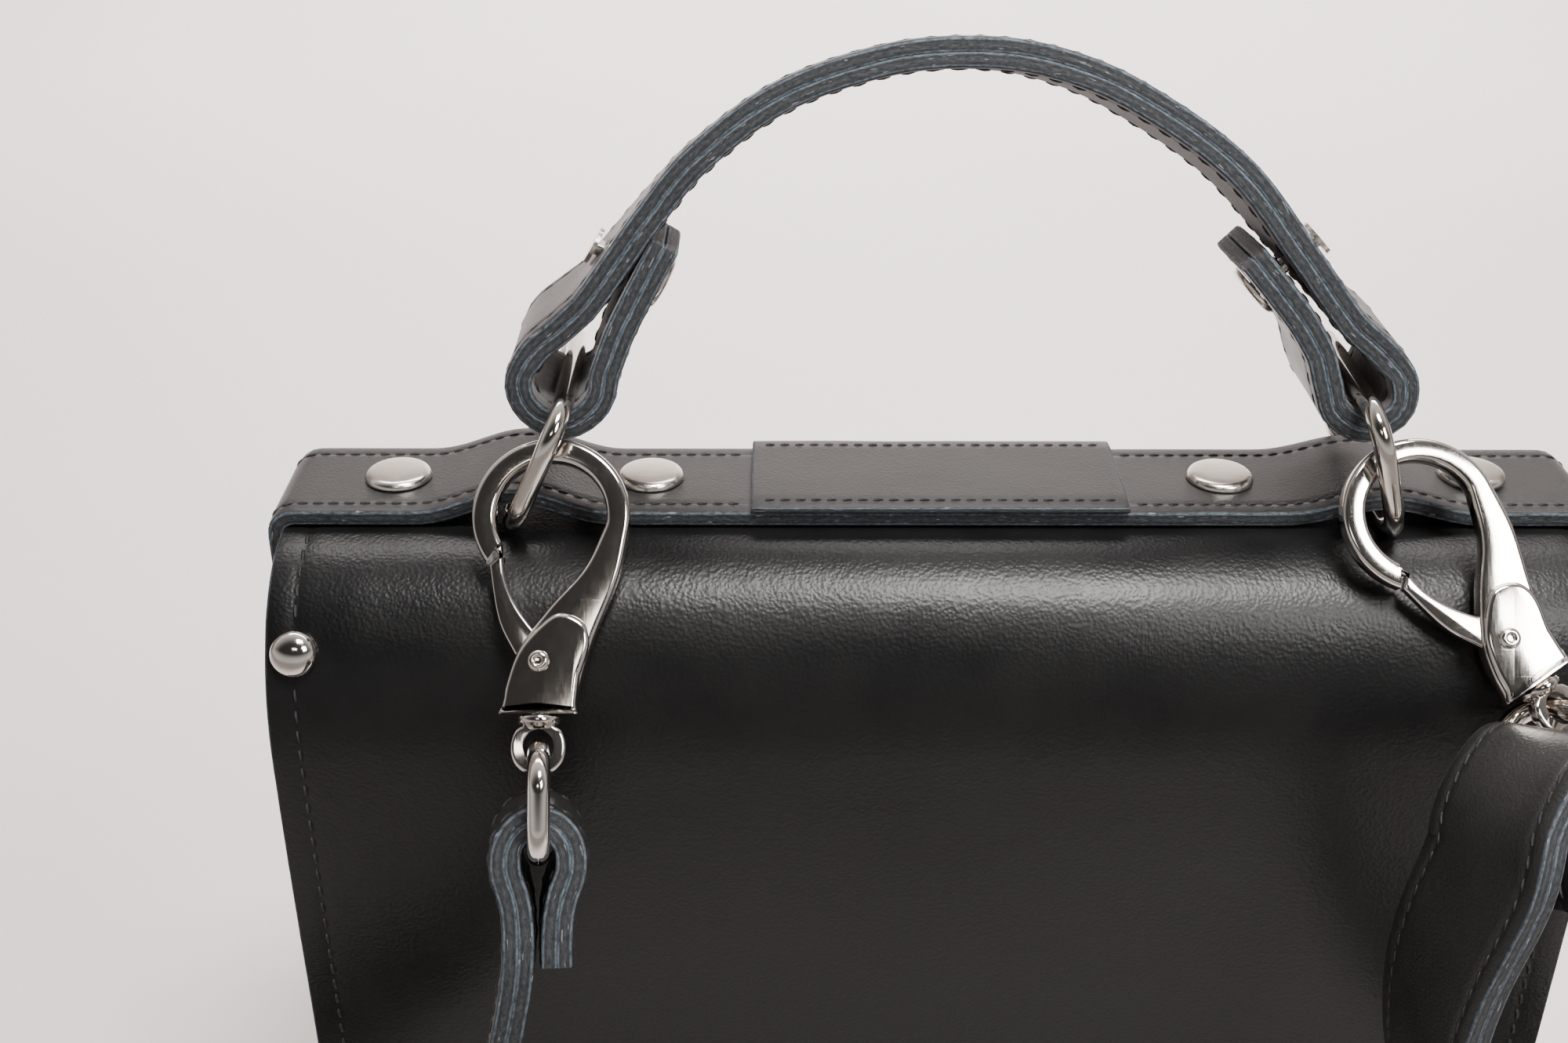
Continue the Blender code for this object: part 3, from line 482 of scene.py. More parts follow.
def slab(name, points, normals, thickness, materials, edge=EDGE, pressed=0.0):
    """A sheet of leather with rounded cut edges, from its outer face: rows of points and normals.

    materials are those of the outer face, the cut edge and the inner face. The rows stop one
    edge rounding short of the sheet's true edges. pressed is how far grooves lower each point
    of the outer face, which the inner face doesn't follow.
    """
    rows, columns, _ = points.shape
    inner = points - normals * thickness
    points = points - normals * pressed
    vertices = list(points.reshape(-1, 3)) + list(inner.reshape(-1, 3))
    under = rows * columns
    along = lengths(points[:, columns // 2])
    across = lengths(points[rows // 2])
    faces, slots, uvs = [], [], []
    for quad in grid_faces(rows, columns):
        pairs = [(along[k // columns], across[k % columns]) for k in quad]
        faces += [quad, [under + k for k in reversed(quad)]]
        slots += [0, 2]
        uvs += pairs + pairs[::-1]
    loop = [(0, j) for j in range(columns)] + [(i, columns - 1) for i in range(1, rows)]
    loop += [(rows - 1, j) for j in range(columns - 2, -1, -1)] + [(i, 0) for i in range(rows - 2, 0, -1)]
    turns = np.radians([30, 60, 90])
    profile = [(edge * math.sin(a), edge * (1 - math.cos(a))) for a in turns]
    levels = np.linspace(edge, thickness - edge, 4)[1:-1]
    profile += [(edge, level) for level in levels]
    profile += [(out, thickness - down) for out, down in profile[2::-1]]
    strips = []
    run = 0.0
    runs = []
    previous = None
    for i, j in loop:
        here, normal = points[i, j], normals[i, j]
        outward = np.zeros(3)
        if i == 0:
            outward += unit(points[0, j] - points[1, j])
        if i == rows - 1:
            outward += unit(points[-1, j] - points[-2, j])
        if j == 0:
            outward += unit(points[i, 0] - points[i, 1])
        if j == columns - 1:
            outward += unit(points[i, -1] - points[i, -2])
        outward = unit(outward - normal * outward.dot(normal))
        run += 0 if previous is None else float(np.linalg.norm(here - previous))
        previous = here
        runs.append(run)
        strip = [i * columns + j]
        for out, down in profile:
            fray = noise.noise(Vector(here) * 900 + Vector((0, 0, down * 2500))) * 0.09 * MM
            strip.append(len(vertices))
            vertices.append(here + outward * (out + fray * (out >= edge * 0.99)) - normal * down)
        strip.append(under + i * columns + j)
        strips.append(strip)
    depths = [0] + [down / thickness for _, down in profile] + [1]
    for k in range(len(strips)):
        first, second = strips[k - 1], strips[k]
        start, end = runs[k - 1] if k else run, runs[k] if k else run + 2 * MM
        for s in range(len(depths) - 1):
            faces.append([first[s], first[s + 1], second[s + 1], second[s]])
            slots.append(1)
            uvs += [(start, depths[s]), (start, depths[s + 1]), (end, depths[s + 1]), (end, depths[s])]
    return make_object(name, vertices, faces, materials, slots, uvs, 50)


def lathe(name, profile, place, material, segments=48, sharp=35):
    """Turns (radius, height) points about the placement's Z. The first and last lie on the axis."""
    vertices = []
    turned = profile[1:-1]
    for i in range(segments):
        angle = 2 * math.pi * i / segments
        for radius, height in turned:
            vertices.append(place @ Vector((radius * math.cos(angle), radius * math.sin(angle), height)))
    count = len(turned)
    faces = grid_faces(segments, count, loop_rows=True)
    for end, row in ((profile[0], 0), (profile[-1], count - 1)):
        tip = len(vertices)
        vertices.append(place @ Vector((0, 0, end[1])))
        for i in range(segments):
            first, second = i * count + row, (i + 1) % segments * count + row
            faces.append([tip, first, second] if row == 0 else [tip, second, first])
    return make_object(name, vertices, faces, [material], sharp=sharp)


def offset_outline(outline, distance):
    """A closed anticlockwise outline moved inwards."""
    outline = np.array(outline)
    before = unit(outline - np.roll(outline, 1, axis=0))
    after = unit(np.roll(outline, -1, axis=0) - outline)
    normal = unit(np.stack([-(before + after)[:, 1], (before + after)[:, 0]], 1))
    square = np.sum(normal * np.stack([-after[:, 1], after[:, 0]], 1), axis=1)
    return outline + normal * (distance / np.maximum(square, 0.6))[:, None]


def bevelled_plate(outline, place, low, high, bevel, steps=4):
    """(vertices, faces) of a prism of a closed outline whose rims are rounded over."""
    if sum(a[0] * b[1] - b[0] * a[1] for a, b in zip(outline, outline[1:] + outline[:1])) < 0:
        outline = outline[::-1]
    turns = np.linspace(0, math.pi / 2, steps + 1)
    rounding = [(bevel * (1 - math.sin(a)), bevel * (1 - math.cos(a))) for a in turns]
    layers = [(inset, low + rise) for inset, rise in rounding]
    layers += [(inset, high - rise) for inset, rise in rounding[::-1]]
    vertices = []
    for inset, height in layers:
        for x, y in offset_outline(outline, inset):
            vertices.append(place @ Vector((x, y, height)))
    return vertices, capped_tube(len(layers), len(outline))


def cut_by(item, outline, place, low, high):
    """Cuts a prism of a closed outline out of a piece and keeps the result."""
    vertices, faces = bevelled_plate(outline, place, low, high, 0.02 * MM, 1)
    cutter = make_object("cutter", vertices, faces, [])
    modifier = item.modifiers.new("cut", "BOOLEAN")
    modifier.operation = "DIFFERENCE"
    modifier.solver = "EXACT"
    modifier.object = cutter
    apply_modifiers(item)
    bpy.data.objects.remove(cutter)


def stitches(name, rows, pitch, length, radius, slant, body, slot="strap_leather"):
    """Every stitch of some rows as its own short thread, its ends sunk in the leather.

    A row is (points, normals) along the leather's face.
    """
    ring = [(math.cos(a), math.sin(a)) for a in np.radians(range(0, 360, 60))]
    stations = [(-1, -0.75, 0.5), (-0.7, 0.15, 0.9), (0, 0.5, 1.0), (0.7, 0.15, 0.9), (1, -0.75, 0.5)]
    vertices, faces = [], []
    for points, normals in rows:
        places, outs = resample(points, normals, pitch)
        tangents = unit(np.gradient(places, axis=0))
        for place, out, tangent in zip(places, unit(outs), tangents):
            side = unit(np.cross(out, tangent))
            along = tangent * math.cos(slant) + side * math.sin(slant)
            side = unit(np.cross(out, along))
            start = len(vertices)
            for share, lift, scale in stations:
                centre = place + along * share * length / 2 + out * radius * lift
                for c, s in ring:
                    vertices.append(centre + (side * c + out * s * 0.85) * radius * scale)
            faces += capped_tube(len(stations), len(ring), start)
    item = make_object(name, vertices, faces, [THREAD])
    return place_piece(item, body, slot)


def body_stitches(name, rows, body):
    stitches(name, rows, 4.4 * MM, 3.1 * MM, 0.42 * MM, 0.12, body, "body_leather")


def even_row(points, normal):
    """A row for stitches that has one normal all along."""
    return np.array(points), np.tile(normal, (len(points), 1))


# ---------------------------------------------------------------- body


def body_path():
    """(y, z) of the body leather's outer face: up the back, over the top and down the flap."""
    back = [(BACK_Y, z) for z in np.linspace(EDGE, TOP_Z - SHOULDER_DROP, 60)]
    front = [(FLAP_Y, z) for z in np.linspace(TOP_Z - SHOULDER_DROP, FLAP_FOOT + EDGE, 40)]
    path = back + shoulder(BACK_Y, 0)[::-1][1:] + shoulder(FLAP_Y, 0) + front[1:]
    path = np.array([(0, y, z) for y, z in path])
    sampled, _ = resample(path, path, 2.2 * MM)
    tangents = unit(np.gradient(sampled, axis=0))
    return sampled, np.stack([tangents[:, 0], -tangents[:, 2], tangents[:, 1]], 1)


def column_positions():
    """Places across the body, closer together at the stitched edges."""
    side = [SEAM_X + offset * MM for offset in (-2, -0.8, 0, 0.8, 2)] + [HALF_WIDTH - EDGE]
    middle = list(np.linspace(-SEAM_X + 4.5 * MM, SEAM_X - 4.5 * MM, 78))
    return np.array([-x for x in side[::-1]] + middle + side)


def slack(x, y, z):
    """How far the body leather stands off its true surface: slow waves, and dents at the seams."""
    free = smooth_step((abs(y) - 20 * MM) / (12 * MM))
    waves = noise.noise(Vector((x * 14, y * 10, z * 16))) * 0.9 * MM
    waves += noise.noise(Vector((x * 33 + 5, y * 20, z * 21))) * 0.35 * MM
    seam = bell(SEAM_X - abs(x), 0.9 * MM) * 0.28 * MM
    rise = bell(SEAM_X - 9 * MM - abs(x), 7 * MM) * 0.25 * MM
    dent = 0.0
    if y < 0:
        distance = math.hypot(abs(x) - SEAM_X, (z - CORNER_RIVET_Z) * 1.1)
        dent = bell(distance, 7.5 * MM) * 0.45 * MM
    return (waves + rise) * free - seam - dent


def make_body():
    """Back, top and flap, one piece of leather."""
    path, outs = body_path()
    xs = column_positions()
    points = np.zeros((len(path), len(xs), 3))
    normals = np.zeros_like(points)
    for i, (point, out) in enumerate(zip(path, outs)):
        for j, x in enumerate(xs):
            points[i, j] = (x, point[1], point[2])
            points[i, j] += out * slack(x, point[1], point[2])
            normals[i, j] = out
    body = slab("body_leather", points, normals, LEATHER, [BODY, CUT, FLESH])
    slot = mm_points([(-6.3, -3.4), (-5.4, -4.4), (5.4, -4.4), (6.3, -3.4)])
    slot += [(-x, -y) for x, y in slot]
    place = axes_frame((0, FLAP_Y, LOCK_Z), (1, 0, 0), (0, 1, 0))
    cut_by(body, slot, place, -8 * MM, 8 * MM)
    body.data.set_sharp_from_angle(angle=math.radians(50))
    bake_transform(body)
    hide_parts("back_panel", "flap")

    below_rivets = (BACK_Y - MM, 0, 5 * MM, CORNER_RIVET[0].z - MM)
    above_rivets = (BACK_Y - MM, -STRIP_HALF - 2 * MM, CORNER_RIVET[1].z + MM, TOP_Z + MM)
    on_flap = (STRIP_HALF + 21 * MM, FLAP_Y + MM, FLAP_FOOT + 6 * MM, TOP_Z + MM)
    seams = (-SEAM_X, SEAM_X)
    rows = [seam_row(path, outs, x, span) for x in seams for span in (below_rivets, above_rivets)]
    body_stitches("back_seam_stitches", rows, "bag")
    body_stitches("flap_stitches", [seam_row(path, outs, x, on_flap) for x in seams], "flap")


def seam_row(path, outs, x, span):
    """The stretch of the body's side seam inside span: lowest and highest y, lowest and highest z."""
    low_y, high_y, low_z, high_z = span
    chosen = [i for i, (_, y, z) in enumerate(path) if low_y < y < high_y and low_z < z < high_z]
    line = np.array([(x, *path[i][1:]) for i in chosen])
    line += np.array([outs[i] * slack(x, *path[i][1:]) for i in chosen])
    return line, outs[chosen]


def make_front_panel():
    low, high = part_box("front_panel")
    zs = np.linspace(low.z + EDGE, high.z - EDGE, 40)
    xs = column_positions()
    points = np.array([[(x, high.y - 0.1 * MM, z) for x in xs] for z in zs])
    normals = np.zeros_like(points)
    normals[..., 1] = 1
    for j, x in enumerate(xs):
        points[:, j, 1] -= bell(SEAM_X - abs(x), 0.9 * MM) * 0.25 * MM
    panel = slab("front_leather", points[:, ::-1], normals, LEATHER - 0.2 * MM, [BODY, CUT, FLESH])
    place = axes_frame((0, high.y, LOCK_Z), (1, 0, 0), (0, 1, 0))
    cut_by(panel, arc((0, 0), 4.3 * MM, 0, 345, 24), place, -8 * MM, 8 * MM)
    place_piece(panel, "bag", "body_leather", "front_panel")
    zs = np.linspace(low.z + 5 * MM, high.z - 5 * MM, 60)
    rows = []
    for x in (-SEAM_X, SEAM_X):
        rows.append(even_row([(x, high.y - 0.35 * MM, z) for z in zs], (0.0, 1.0, 0.0)))
    body_stitches("front_seam_stitches", rows, "bag")


def make_base():
    """The bottom leather with both long edges turned up inside the walls."""
    low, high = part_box("base_panel")
    bend = 3.4 * MM
    path = [(low.y, high.z - EDGE), (low.y, low.z + bend)]
    path += arc((low.y + bend, low.z + bend), bend, 180, 270, 8)[1:]
    path += [(y, low.z) for y in np.linspace(low.y + 2 * bend, high.y - 2 * bend, 20)]
    path += arc((high.y - bend, low.z + bend), bend, 270, 360, 8)
    path += [(high.y, high.z - EDGE)]
    path = np.array([(0, y, z) for y, z in path])
    tangents = unit(np.gradient(path, axis=0))
    outs = np.stack([tangents[:, 0], tangents[:, 2], -tangents[:, 1]], 1)
    xs = np.linspace(low.x + EDGE, high.x - EDGE, 60)
    points = np.array([[(x, p[1], p[2]) for x in xs] for p in path])
    normals = np.repeat(outs[:, None, :], len(xs), axis=1)
    base = slab("base_leather", points, normals, LEATHER - 0.1 * MM, [BODY, CUT, FLESH])
    place_piece(base, "bag", "body_leather", "base_panel")


def gusset_ring(inset):
    """(y, z) of a side piece's outline, moved in by inset."""
    low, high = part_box("gusset_left")
    drop = TOP_Z - high.z
    back = [(y, z - drop) for y, z in shoulder(low.y, inset, 15)]
    front = [(y, z - drop) for y, z in shoulder(high.y, inset, 15)]
    walls = [(low.y + inset, z) for z in np.linspace(low.z + inset, back[-1][1], 24)[:-1]]
    front_wall = [(high.y - inset, z) for z in np.linspace(front[-1][1], low.z + inset, 24)[1:]]
    foot = [(y, low.z + inset) for y in np.linspace(high.y - inset, low.y + inset, 12)[1:-1]]
    return np.array(walls + back[::-1] + front + front_wall + foot)


def dish(share):
    """How far a side piece's wall sinks at this share of the way from its middle to its rim."""
    return 2.2 * MM * smooth_step((1 - share) * 1.6)


def make_gusset(name, side, node):
    """A side piece: a dished wall whose edge turns in all round as a flange."""
    low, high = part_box(node)
    wall = max(abs(low.x), abs(high.x))
    flange = 10 * MM
    thick = 2.4 * MM
    bend = 3.0 * MM
    middle = np.array([(low.y + high.y) / 2, (low.z + high.z) / 2 - 8 * MM])
    outer = [(gusset_ring(0), wall - flange), (gusset_ring(0), wall - bend)]
    for angle in np.radians([30, 60, 90]):
        outer.append((gusset_ring(bend * (1 - math.cos(angle))), wall - bend * (1 - math.sin(angle))))
    rim = gusset_ring(bend)
    shares = (0.93, 0.84, 0.72, 0.58, 0.42, 0.25, 0.1)
    outer += [(middle + (rim - middle) * share, wall - dish(share)) for share in shares]
    inner_rim = gusset_ring(bend + thick)
    inner = []
    for share in (*shares[::-1], 1.0):
        inner.append((middle + (inner_rim - middle) * share, wall - thick - dish(share)))
    inner += [(gusset_ring(thick), wall - thick - bend), (gusset_ring(thick), wall - flange)]
    rings = outer + inner
    count = len(rim)
    vertices = []
    for outline, x in rings:
        for y, z in outline:
            vertices.append((side * x, y, z))
    faces, slots = [], []
    split = len(outer)
    # The quads from the last ring back to the first are the flange's cut edge
    for number, quad in enumerate(grid_faces(len(rings), count, loop_rows=True, loop_columns=True)):
        k = number // count
        if k == split - 1:
            continue
        faces.append(quad if side > 0 else quad[::-1])
        slots.append(1 if k == len(rings) - 1 else 2 if k >= split else 0)
    for k in (split - 1, split):
        cap = [k * count + i for i in range(count)]
        faces.append(cap if (side > 0) == (k == split - 1) else cap[::-1])
        slots.append(0 if k < split else 2)
    item = make_object(name, vertices, faces, [BODY, CUT, FLESH], slots, None, 50)
    place_piece(item, "bag", "body_leather", node)


# ---------------------------------------------------------------- strip and label


def strip_height(x):
    """Height of the strip's top face, humped over each ring's lower bar."""
    height = HEIGHT
    for side in ("left", "right"):
        seat = JOINTS[f"ring_{side}_sway"]["pos_m"]
        rise = seat[2] + RING_WIRE + GAP + STRIP_THICK - height
        distance = min(abs(x - seat[0]), HUMP_REACH)
        height += rise * 0.5 * (1 + math.cos(math.pi * distance / HUMP_REACH))
    return height


def strip_surface():
    """Rows of points and outward normals along the strip, from its left foot to its right foot."""
    bend = 6 * MM
    flat_end = STRIP_END - bend
    left = [(-STRIP_END, z) for z in np.linspace(STRIP_FOOT + EDGE, HEIGHT - bend, 12)]
    left += arc((-flat_end, HEIGHT - bend), bend, 180, 90, 9)[1:]
    top = [(x, strip_height(x)) for x in np.linspace(-flat_end, flat_end, 150)[1:]]
    right = arc((flat_end, HEIGHT - bend), bend, 90, 0, 9)[1:]
    right += [(STRIP_END, z) for z in np.linspace(HEIGHT - bend, STRIP_FOOT + EDGE, 12)[1:]]
    path = np.array([(x, 0, z) for x, z in left + top + right])
    path, _ = resample(path, path, 1.9 * MM)
    tangents = unit(np.gradient(path, axis=0))
    return path, np.stack([-tangents[:, 2], tangents[:, 1], tangents[:, 0]], 1)


def strap_columns(width, groove_inset):
    """Places across a strap, closer together at its stitching grooves."""
    half, seam = width / 2, width / 2 - groove_inset
    side = [seam + offset * MM for offset in (-1, -0.4, 0, 0.4, 1)]
    side += [half - 1.4 * MM, half - EDGE]
    middle = list(np.linspace(-seam + 2 * MM, seam - 2 * MM, 7))
    return np.array([-x for x in side[::-1]] + middle + side)


def groove(across, width, inset, depth=0.22 * MM):
    """Depth of the stitching groove and of the pressed-down border outside it."""
    from_seam = abs(across) - (width / 2 - inset)
    return depth * bell(from_seam, 0.5 * MM) + 0.25 * MM * smooth_step(from_seam / inset)


def make_strip():
    path, outs = strip_surface()
    ys = strap_columns(2 * STRIP_HALF, STRIP_SEAM)
    points = np.array([[(p[0], y, p[2]) for y in ys] for p in path])
    normals = np.repeat(outs[:, None, :], len(ys), axis=1)
    pressed = np.array([groove(y, 2 * STRIP_HALF, STRIP_SEAM) for y in ys])[None, :, None]
    strip = slab("strip_leather", points[:, ::-1], normals, STRIP_THICK, [STRAP, CUT, FLESH], EDGE, pressed)
    place_piece(strip, "bag", "strip_leather", "top_strip")
    rows = []
    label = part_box("label_patch")
    for side in (-1, 1):
        for keep in (lambda x: x < label[0].x - 2 * MM, lambda x: x > label[1].x + 2 * MM):
            chosen = [i for i in range(2, len(path) - 2) if keep(path[i][0])]
            line = np.array([(path[i][0], side * (STRIP_HALF - STRIP_SEAM), path[i][2]) for i in chosen])
            rows.append((line - outs[chosen] * 0.2 * MM, outs[chosen]))
    stitches("strip_stitches", rows, 3.3 * MM, 2.5 * MM, 0.40 * MM, 0.1, "bag", "strip_leather")


def make_label():
    """The blank patch: thinner leather, its long edges settling over the strip's edges."""
    low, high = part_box("label_patch")
    seam_y = high.y - 3.2 * MM
    xs = np.linspace(low.x + EDGE, high.x - EDGE, 46)
    ys = np.linspace(low.y + EDGE, high.y - EDGE, 26)
    points = np.zeros((len(xs), len(ys), 3))
    normals = np.zeros_like(points)
    for i, x in enumerate(xs):
        for j, y in enumerate(ys):
            lift = noise.noise(Vector((x * 60, y * 60, 3))) * 0.12 * MM
            droop = 0.5 * MM * smooth_step((abs(y) - 12.5 * MM) / (3.5 * MM))
            seam = 0.15 * MM * bell(seam_y - abs(y), 0.6 * MM)
            points[i, j] = (x, y, high.z + lift - droop - seam)
            normals[i, j] = (0, 0, 1)
    thickness = high.z - low.z - 0.1 * MM
    label = slab("label_leather", points[:, ::-1], normals, thickness, [STRAP, CUT, FLESH], 0.4 * MM)
    place_piece(label, "bag", "strip_leather", "label_patch")
    rows = []
    for y in (-seam_y, seam_y):
        line = [(x, y, high.z - 0.18 * MM) for x in np.linspace(xs[2], xs[-3], 60)]
        rows.append(even_row(line, (0.0, 0.0, 1.0)))
    stitches("label_stitches", rows, 3.3 * MM, 2.4 * MM, 0.36 * MM, 0.1, "bag", "strip_leather")


# ---------------------------------------------------------------- rivets


def cap_profile(radius, base, rise):
    """A flat cap with a rolled rim, from its middle to its foot."""
    flat = [(0, base + rise), (radius * 0.45, base + rise * 0.98), (radius * 0.78, base + rise * 0.90)]
    rim = []
    for angle in np.radians([15, 35, 55, 75, 88]):
        rim.append((radius * (0.80 + 0.2 * math.sin(angle)), base + rise * 0.88 * math.cos(angle)))
    return flat + rim


def make_rivets():
    for number, (x, (low, high)) in enumerate(zip(RIVET_X, RIVET_BOXES), 1):
        radius = (high.x - low.x) / 2
        base = high.z - 1.75 * MM
        profile = cap_profile(radius, base, high.z - base)
        profile += [(radius * 0.96, base - 0.1 * MM), (1.9 * MM, base - 0.1 * MM), (1.9 * MM, low.z + MM)]
        profile += [(4.4 * MM, low.z + MM), (4.4 * MM, low.z), (0, low.z)]
        item = lathe(f"rivet_cap_{number}", profile, Matrix.Translation((x, 0, 0)), CAP, 56, 50)
        place_piece(item, "bag", "nickel", f"strip_rivet_{number}")
    for side, name in ((-1, "left"), (1, "right")):
        make_dome_rivet(f"corner_dome_{name}", f"corner_rivet_{name}", side)
    for name in ("left", "right"):
        make_handle_rivet(name)


def shoulder_frame(side_y, drop):
    """The point of the body's rounded edge this far below its top, and the normal there."""
    points = shoulder(side_y, 0, 161)
    index = min(range(1, 160), key=lambda i: abs(TOP_Z - points[i][1] - drop))
    along = Vector((0, *points[index + 1])) - Vector((0, *points[index - 1]))
    normal = Vector((0, along.z, -along.y)).normalized()
    if normal.y * side_y < 0:
        normal = -normal
    return Vector((0, *points[index])), normal


def make_dome_rivet(name, node, side):
    surface, normal = shoulder_frame(BACK_Y, 15.4 * MM)
    place = axes_frame(surface + Vector((side * (HALF_WIDTH - SEAM_INSET), 0, 0)), (1, 0, 0), normal)
    radius, rise = 4.8 * MM, 2.9 * MM
    profile = [(0, rise)]
    profile += [(radius * math.cos(a), rise * math.sin(a)) for a in np.radians([75, 60, 45, 30, 15, 3])]
    profile += [(radius * 0.97, -0.3 * MM), (1.4 * MM, -0.4 * MM), (1.4 * MM, -6.8 * MM), (0, -6.8 * MM)]
    place_piece(lathe(name, profile, place, NICKEL, 48, 60), "bag", "nickel", node)


# ---------------------------------------------------------------- rings


def ring_tube(name, place, sizes, body, node):
    """A rounded oblong ring of wire. sizes are its height, half its length and its corners' radius."""
    height, half_length, corner = sizes
    half_l, half_h = half_length - corner, height / 2 - corner
    path = []
    for (side, level), start in (((1, -1), -90), ((1, 1), 0), ((-1, 1), 90), ((-1, -1), 180)):
        path += arc((side * half_l, height / 2 + level * half_h), corner, start, start + 90, 16)
    vertices = []
    sides = 20
    count = len(path)
    for i, (y, z) in enumerate(path):
        before, after = path[i - 1], path[(i + 1) % count]
        along = Vector((0, after[0] - before[0], after[1] - before[1])).normalized()
        out = along.cross(Vector((1, 0, 0)))
        for k in range(sides):
            angle = 2 * math.pi * k / sides
            offset = Vector((1, 0, 0)) * math.cos(angle) + out * math.sin(angle)
            vertices.append(place @ (Vector((0, y, z)) + offset * RING_WIRE))
    quads = grid_faces(count, sides, loop_rows=True, loop_columns=True)
    faces = [[a, d, c, b] for a, b, c, d in quads]
    place_piece(make_object(name, vertices, faces, [NICKEL]), body, "nickel", node)


def seat_frame(side):
    place = Matrix.Translation(JOINTS[f"ring_{side}_sway"]["pos_m"])
    return place @ Matrix.Rotation(RING_LEAN[side], 4, "Y")


# ---------------------------------------------------------------- straps

# The handle's seam at its back edge, (x, height above the strip) in mm, end to end
HANDLE_ROUTE = [
    (-56.5, 54.5), (-61.2, 46), (-65.8, 37), (-68.8, 29), (-71.0, 23.0), (-77.0, 19.2), (-83.2, 21.8),
    (-85.6, 27), (-83.2, 33.4), (-77.5, 38.6), (-72.6, 43), (-66.4, 51), (-59.4, 60.4), (-49.8, 71.6),
    (-33.5, 83.3), (-13.2, 90.2), (3, 91.8), (18, 90.2), (34.5, 84.2), (55.9, 70.2), (71.3, 52.2),
    (81.4, 39.8), (88.6, 33.4), (92.2, 27.6), (91.2, 21.6), (85.8, 18.8), (80.2, 21.4), (77.6, 26.5),
    (75.4, 33), (71.6, 39.5), (66, 46.3), (60.8, 52.2),
]  # fmt: skip


def handle_path():
    edge = smooth_route([(x * MM, 0, h * MM) for x, h in HANDLE_ROUTE], 1.5 * MM)
    route, widths = [], []
    for x, _, height in edge:
        lean = math.radians(15) * smooth_step((height - 22 * MM) / (60 * MM))
        across = np.array([0, math.cos(lean), -math.sin(lean)])
        back_edge = np.array([x, -HANDLE_WIDTH / 2 + max(height - 20 * MM, 0) * 0.2, HEIGHT + height])
        route.append(back_edge + across * HANDLE_WIDTH / 2)
        widths.append(across)
    return np.array(route), np.array(widths)


def strap_frames(route, widths):
    """Edge-to-edge directions square to the route, and the normals to its face."""
    tangents = unit(np.gradient(route, axis=0))
    widths = unit(widths - tangents * np.sum(widths * tangents, axis=1, keepdims=True))
    return widths, np.cross(widths, tangents)


def ply(name, line, width, seam, side, materials, body, node):
    """One ply of a strap whose line is its route and its edge-to-edge directions.

    side is 1 on the route's normal side and -1 on the other.
    """
    trimmed, directions = resample(*line, 1.6 * MM, EDGE, EDGE)
    across, normals = strap_frames(trimmed, directions)
    places = strap_columns(width, seam)
    points = np.zeros((len(trimmed), len(places), 3))
    for j, v in enumerate(places):
        points[:, j] = trimmed + across * v + normals * side * (PLY_OFFSET + PLY / 2)
    outs = np.repeat((normals * side)[:, None, :], len(places), axis=1)
    pressed = np.array([groove(v, width, seam) for v in places])[None, :, None]
    if side > 0:
        points = points[:, ::-1]
    item = slab(name, points, outs, PLY + 0.1 * MM, materials, EDGE, pressed)
    place_piece(item, body, "strap_leather", node)


def strap_stitches(name, line, width, seam, pitch, body):
    """Two rows of stitches on each face of a sewn strap, pulled in deeper on its outer face."""
    trimmed, directions = resample(*line, 1.6 * MM, 4 * MM, 4 * MM)
    across, normals = strap_frames(trimmed, directions)
    rows = []
    for side in (-1, 1):
        for edge in (-1, 1):
            depth = PLY_OFFSET + PLY / 2 - (0.34 if side < 0 else 0.16) * MM
            points = trimmed + across * edge * (width / 2 - seam) + normals * side * depth
            rows.append((points, normals * side))
    stitches(name, rows, pitch, pitch * 0.72, 0.40 * MM, 0.2, body)


def make_handle():
    line = handle_path()
    size = (HANDLE_WIDTH, HANDLE_SEAM)
    ply("handle_top", line, *size, -1, [STRAP, CUT, FLESH], "handle", "handle_outer_ply")
    ply("handle_under", line, *size, 1, [FLESH, CUT, FLESH], "handle", "handle_inner_ply")
    strap_stitches("handle_stitches", line, *size, 4.8 * MM, "handle")


def make_handle_rivet(side):
    """A flat-capped rivet holding a folded-back end of the handle."""
    node = f"handle_rivet_{side}"
    route, widths = handle_path()
    index = round((0.028 if side == "left" else 0.972) * (len(route) - 1))
    along = route[index + 1] - route[index - 1]
    inward = unit(np.cross(along, widths[index]))
    place = axes_frame(route[index], widths[index], inward)
    beyond = route[np.abs(np.arange(len(route)) - index) > 24]
    apart = float(np.min(np.linalg.norm(beyond - route[index], axis=1)))
    high = PLY_OFFSET + PLY / 2 + GAP
    low = -(apart + high + 3 * GAP)
    profile = cap_profile(6.0 * MM, high, 1.4 * MM)
    profile += [(5.7 * MM, high - 0.1 * MM), (1.7 * MM, high - 0.1 * MM)]
    profile += [(1.7 * MM, low), (4.0 * MM, low), (4.0 * MM, low - 0.9 * MM), (0, low - 0.9 * MM)]
    place_piece(lathe(f"handle_cap_{side}", profile, place, CAP, 48, 50), "handle", "nickel", node)


def hook_frame(side):
    """The hook's placement: local Y up its length, Z out of its face, origin at the gate pin."""
    hinge = JOINTS[f"gate_{side}_hinge"]
    up = Vector(JOINTS[f"hook_{side}_swivel"]["axis"]).normalized()
    out = Vector(hinge["axis"]).normalized()
    across = up.cross(out)
    return Matrix.Translation(hinge["pos_m"]) @ Matrix((across, up, out)).transposed().to_4x4()


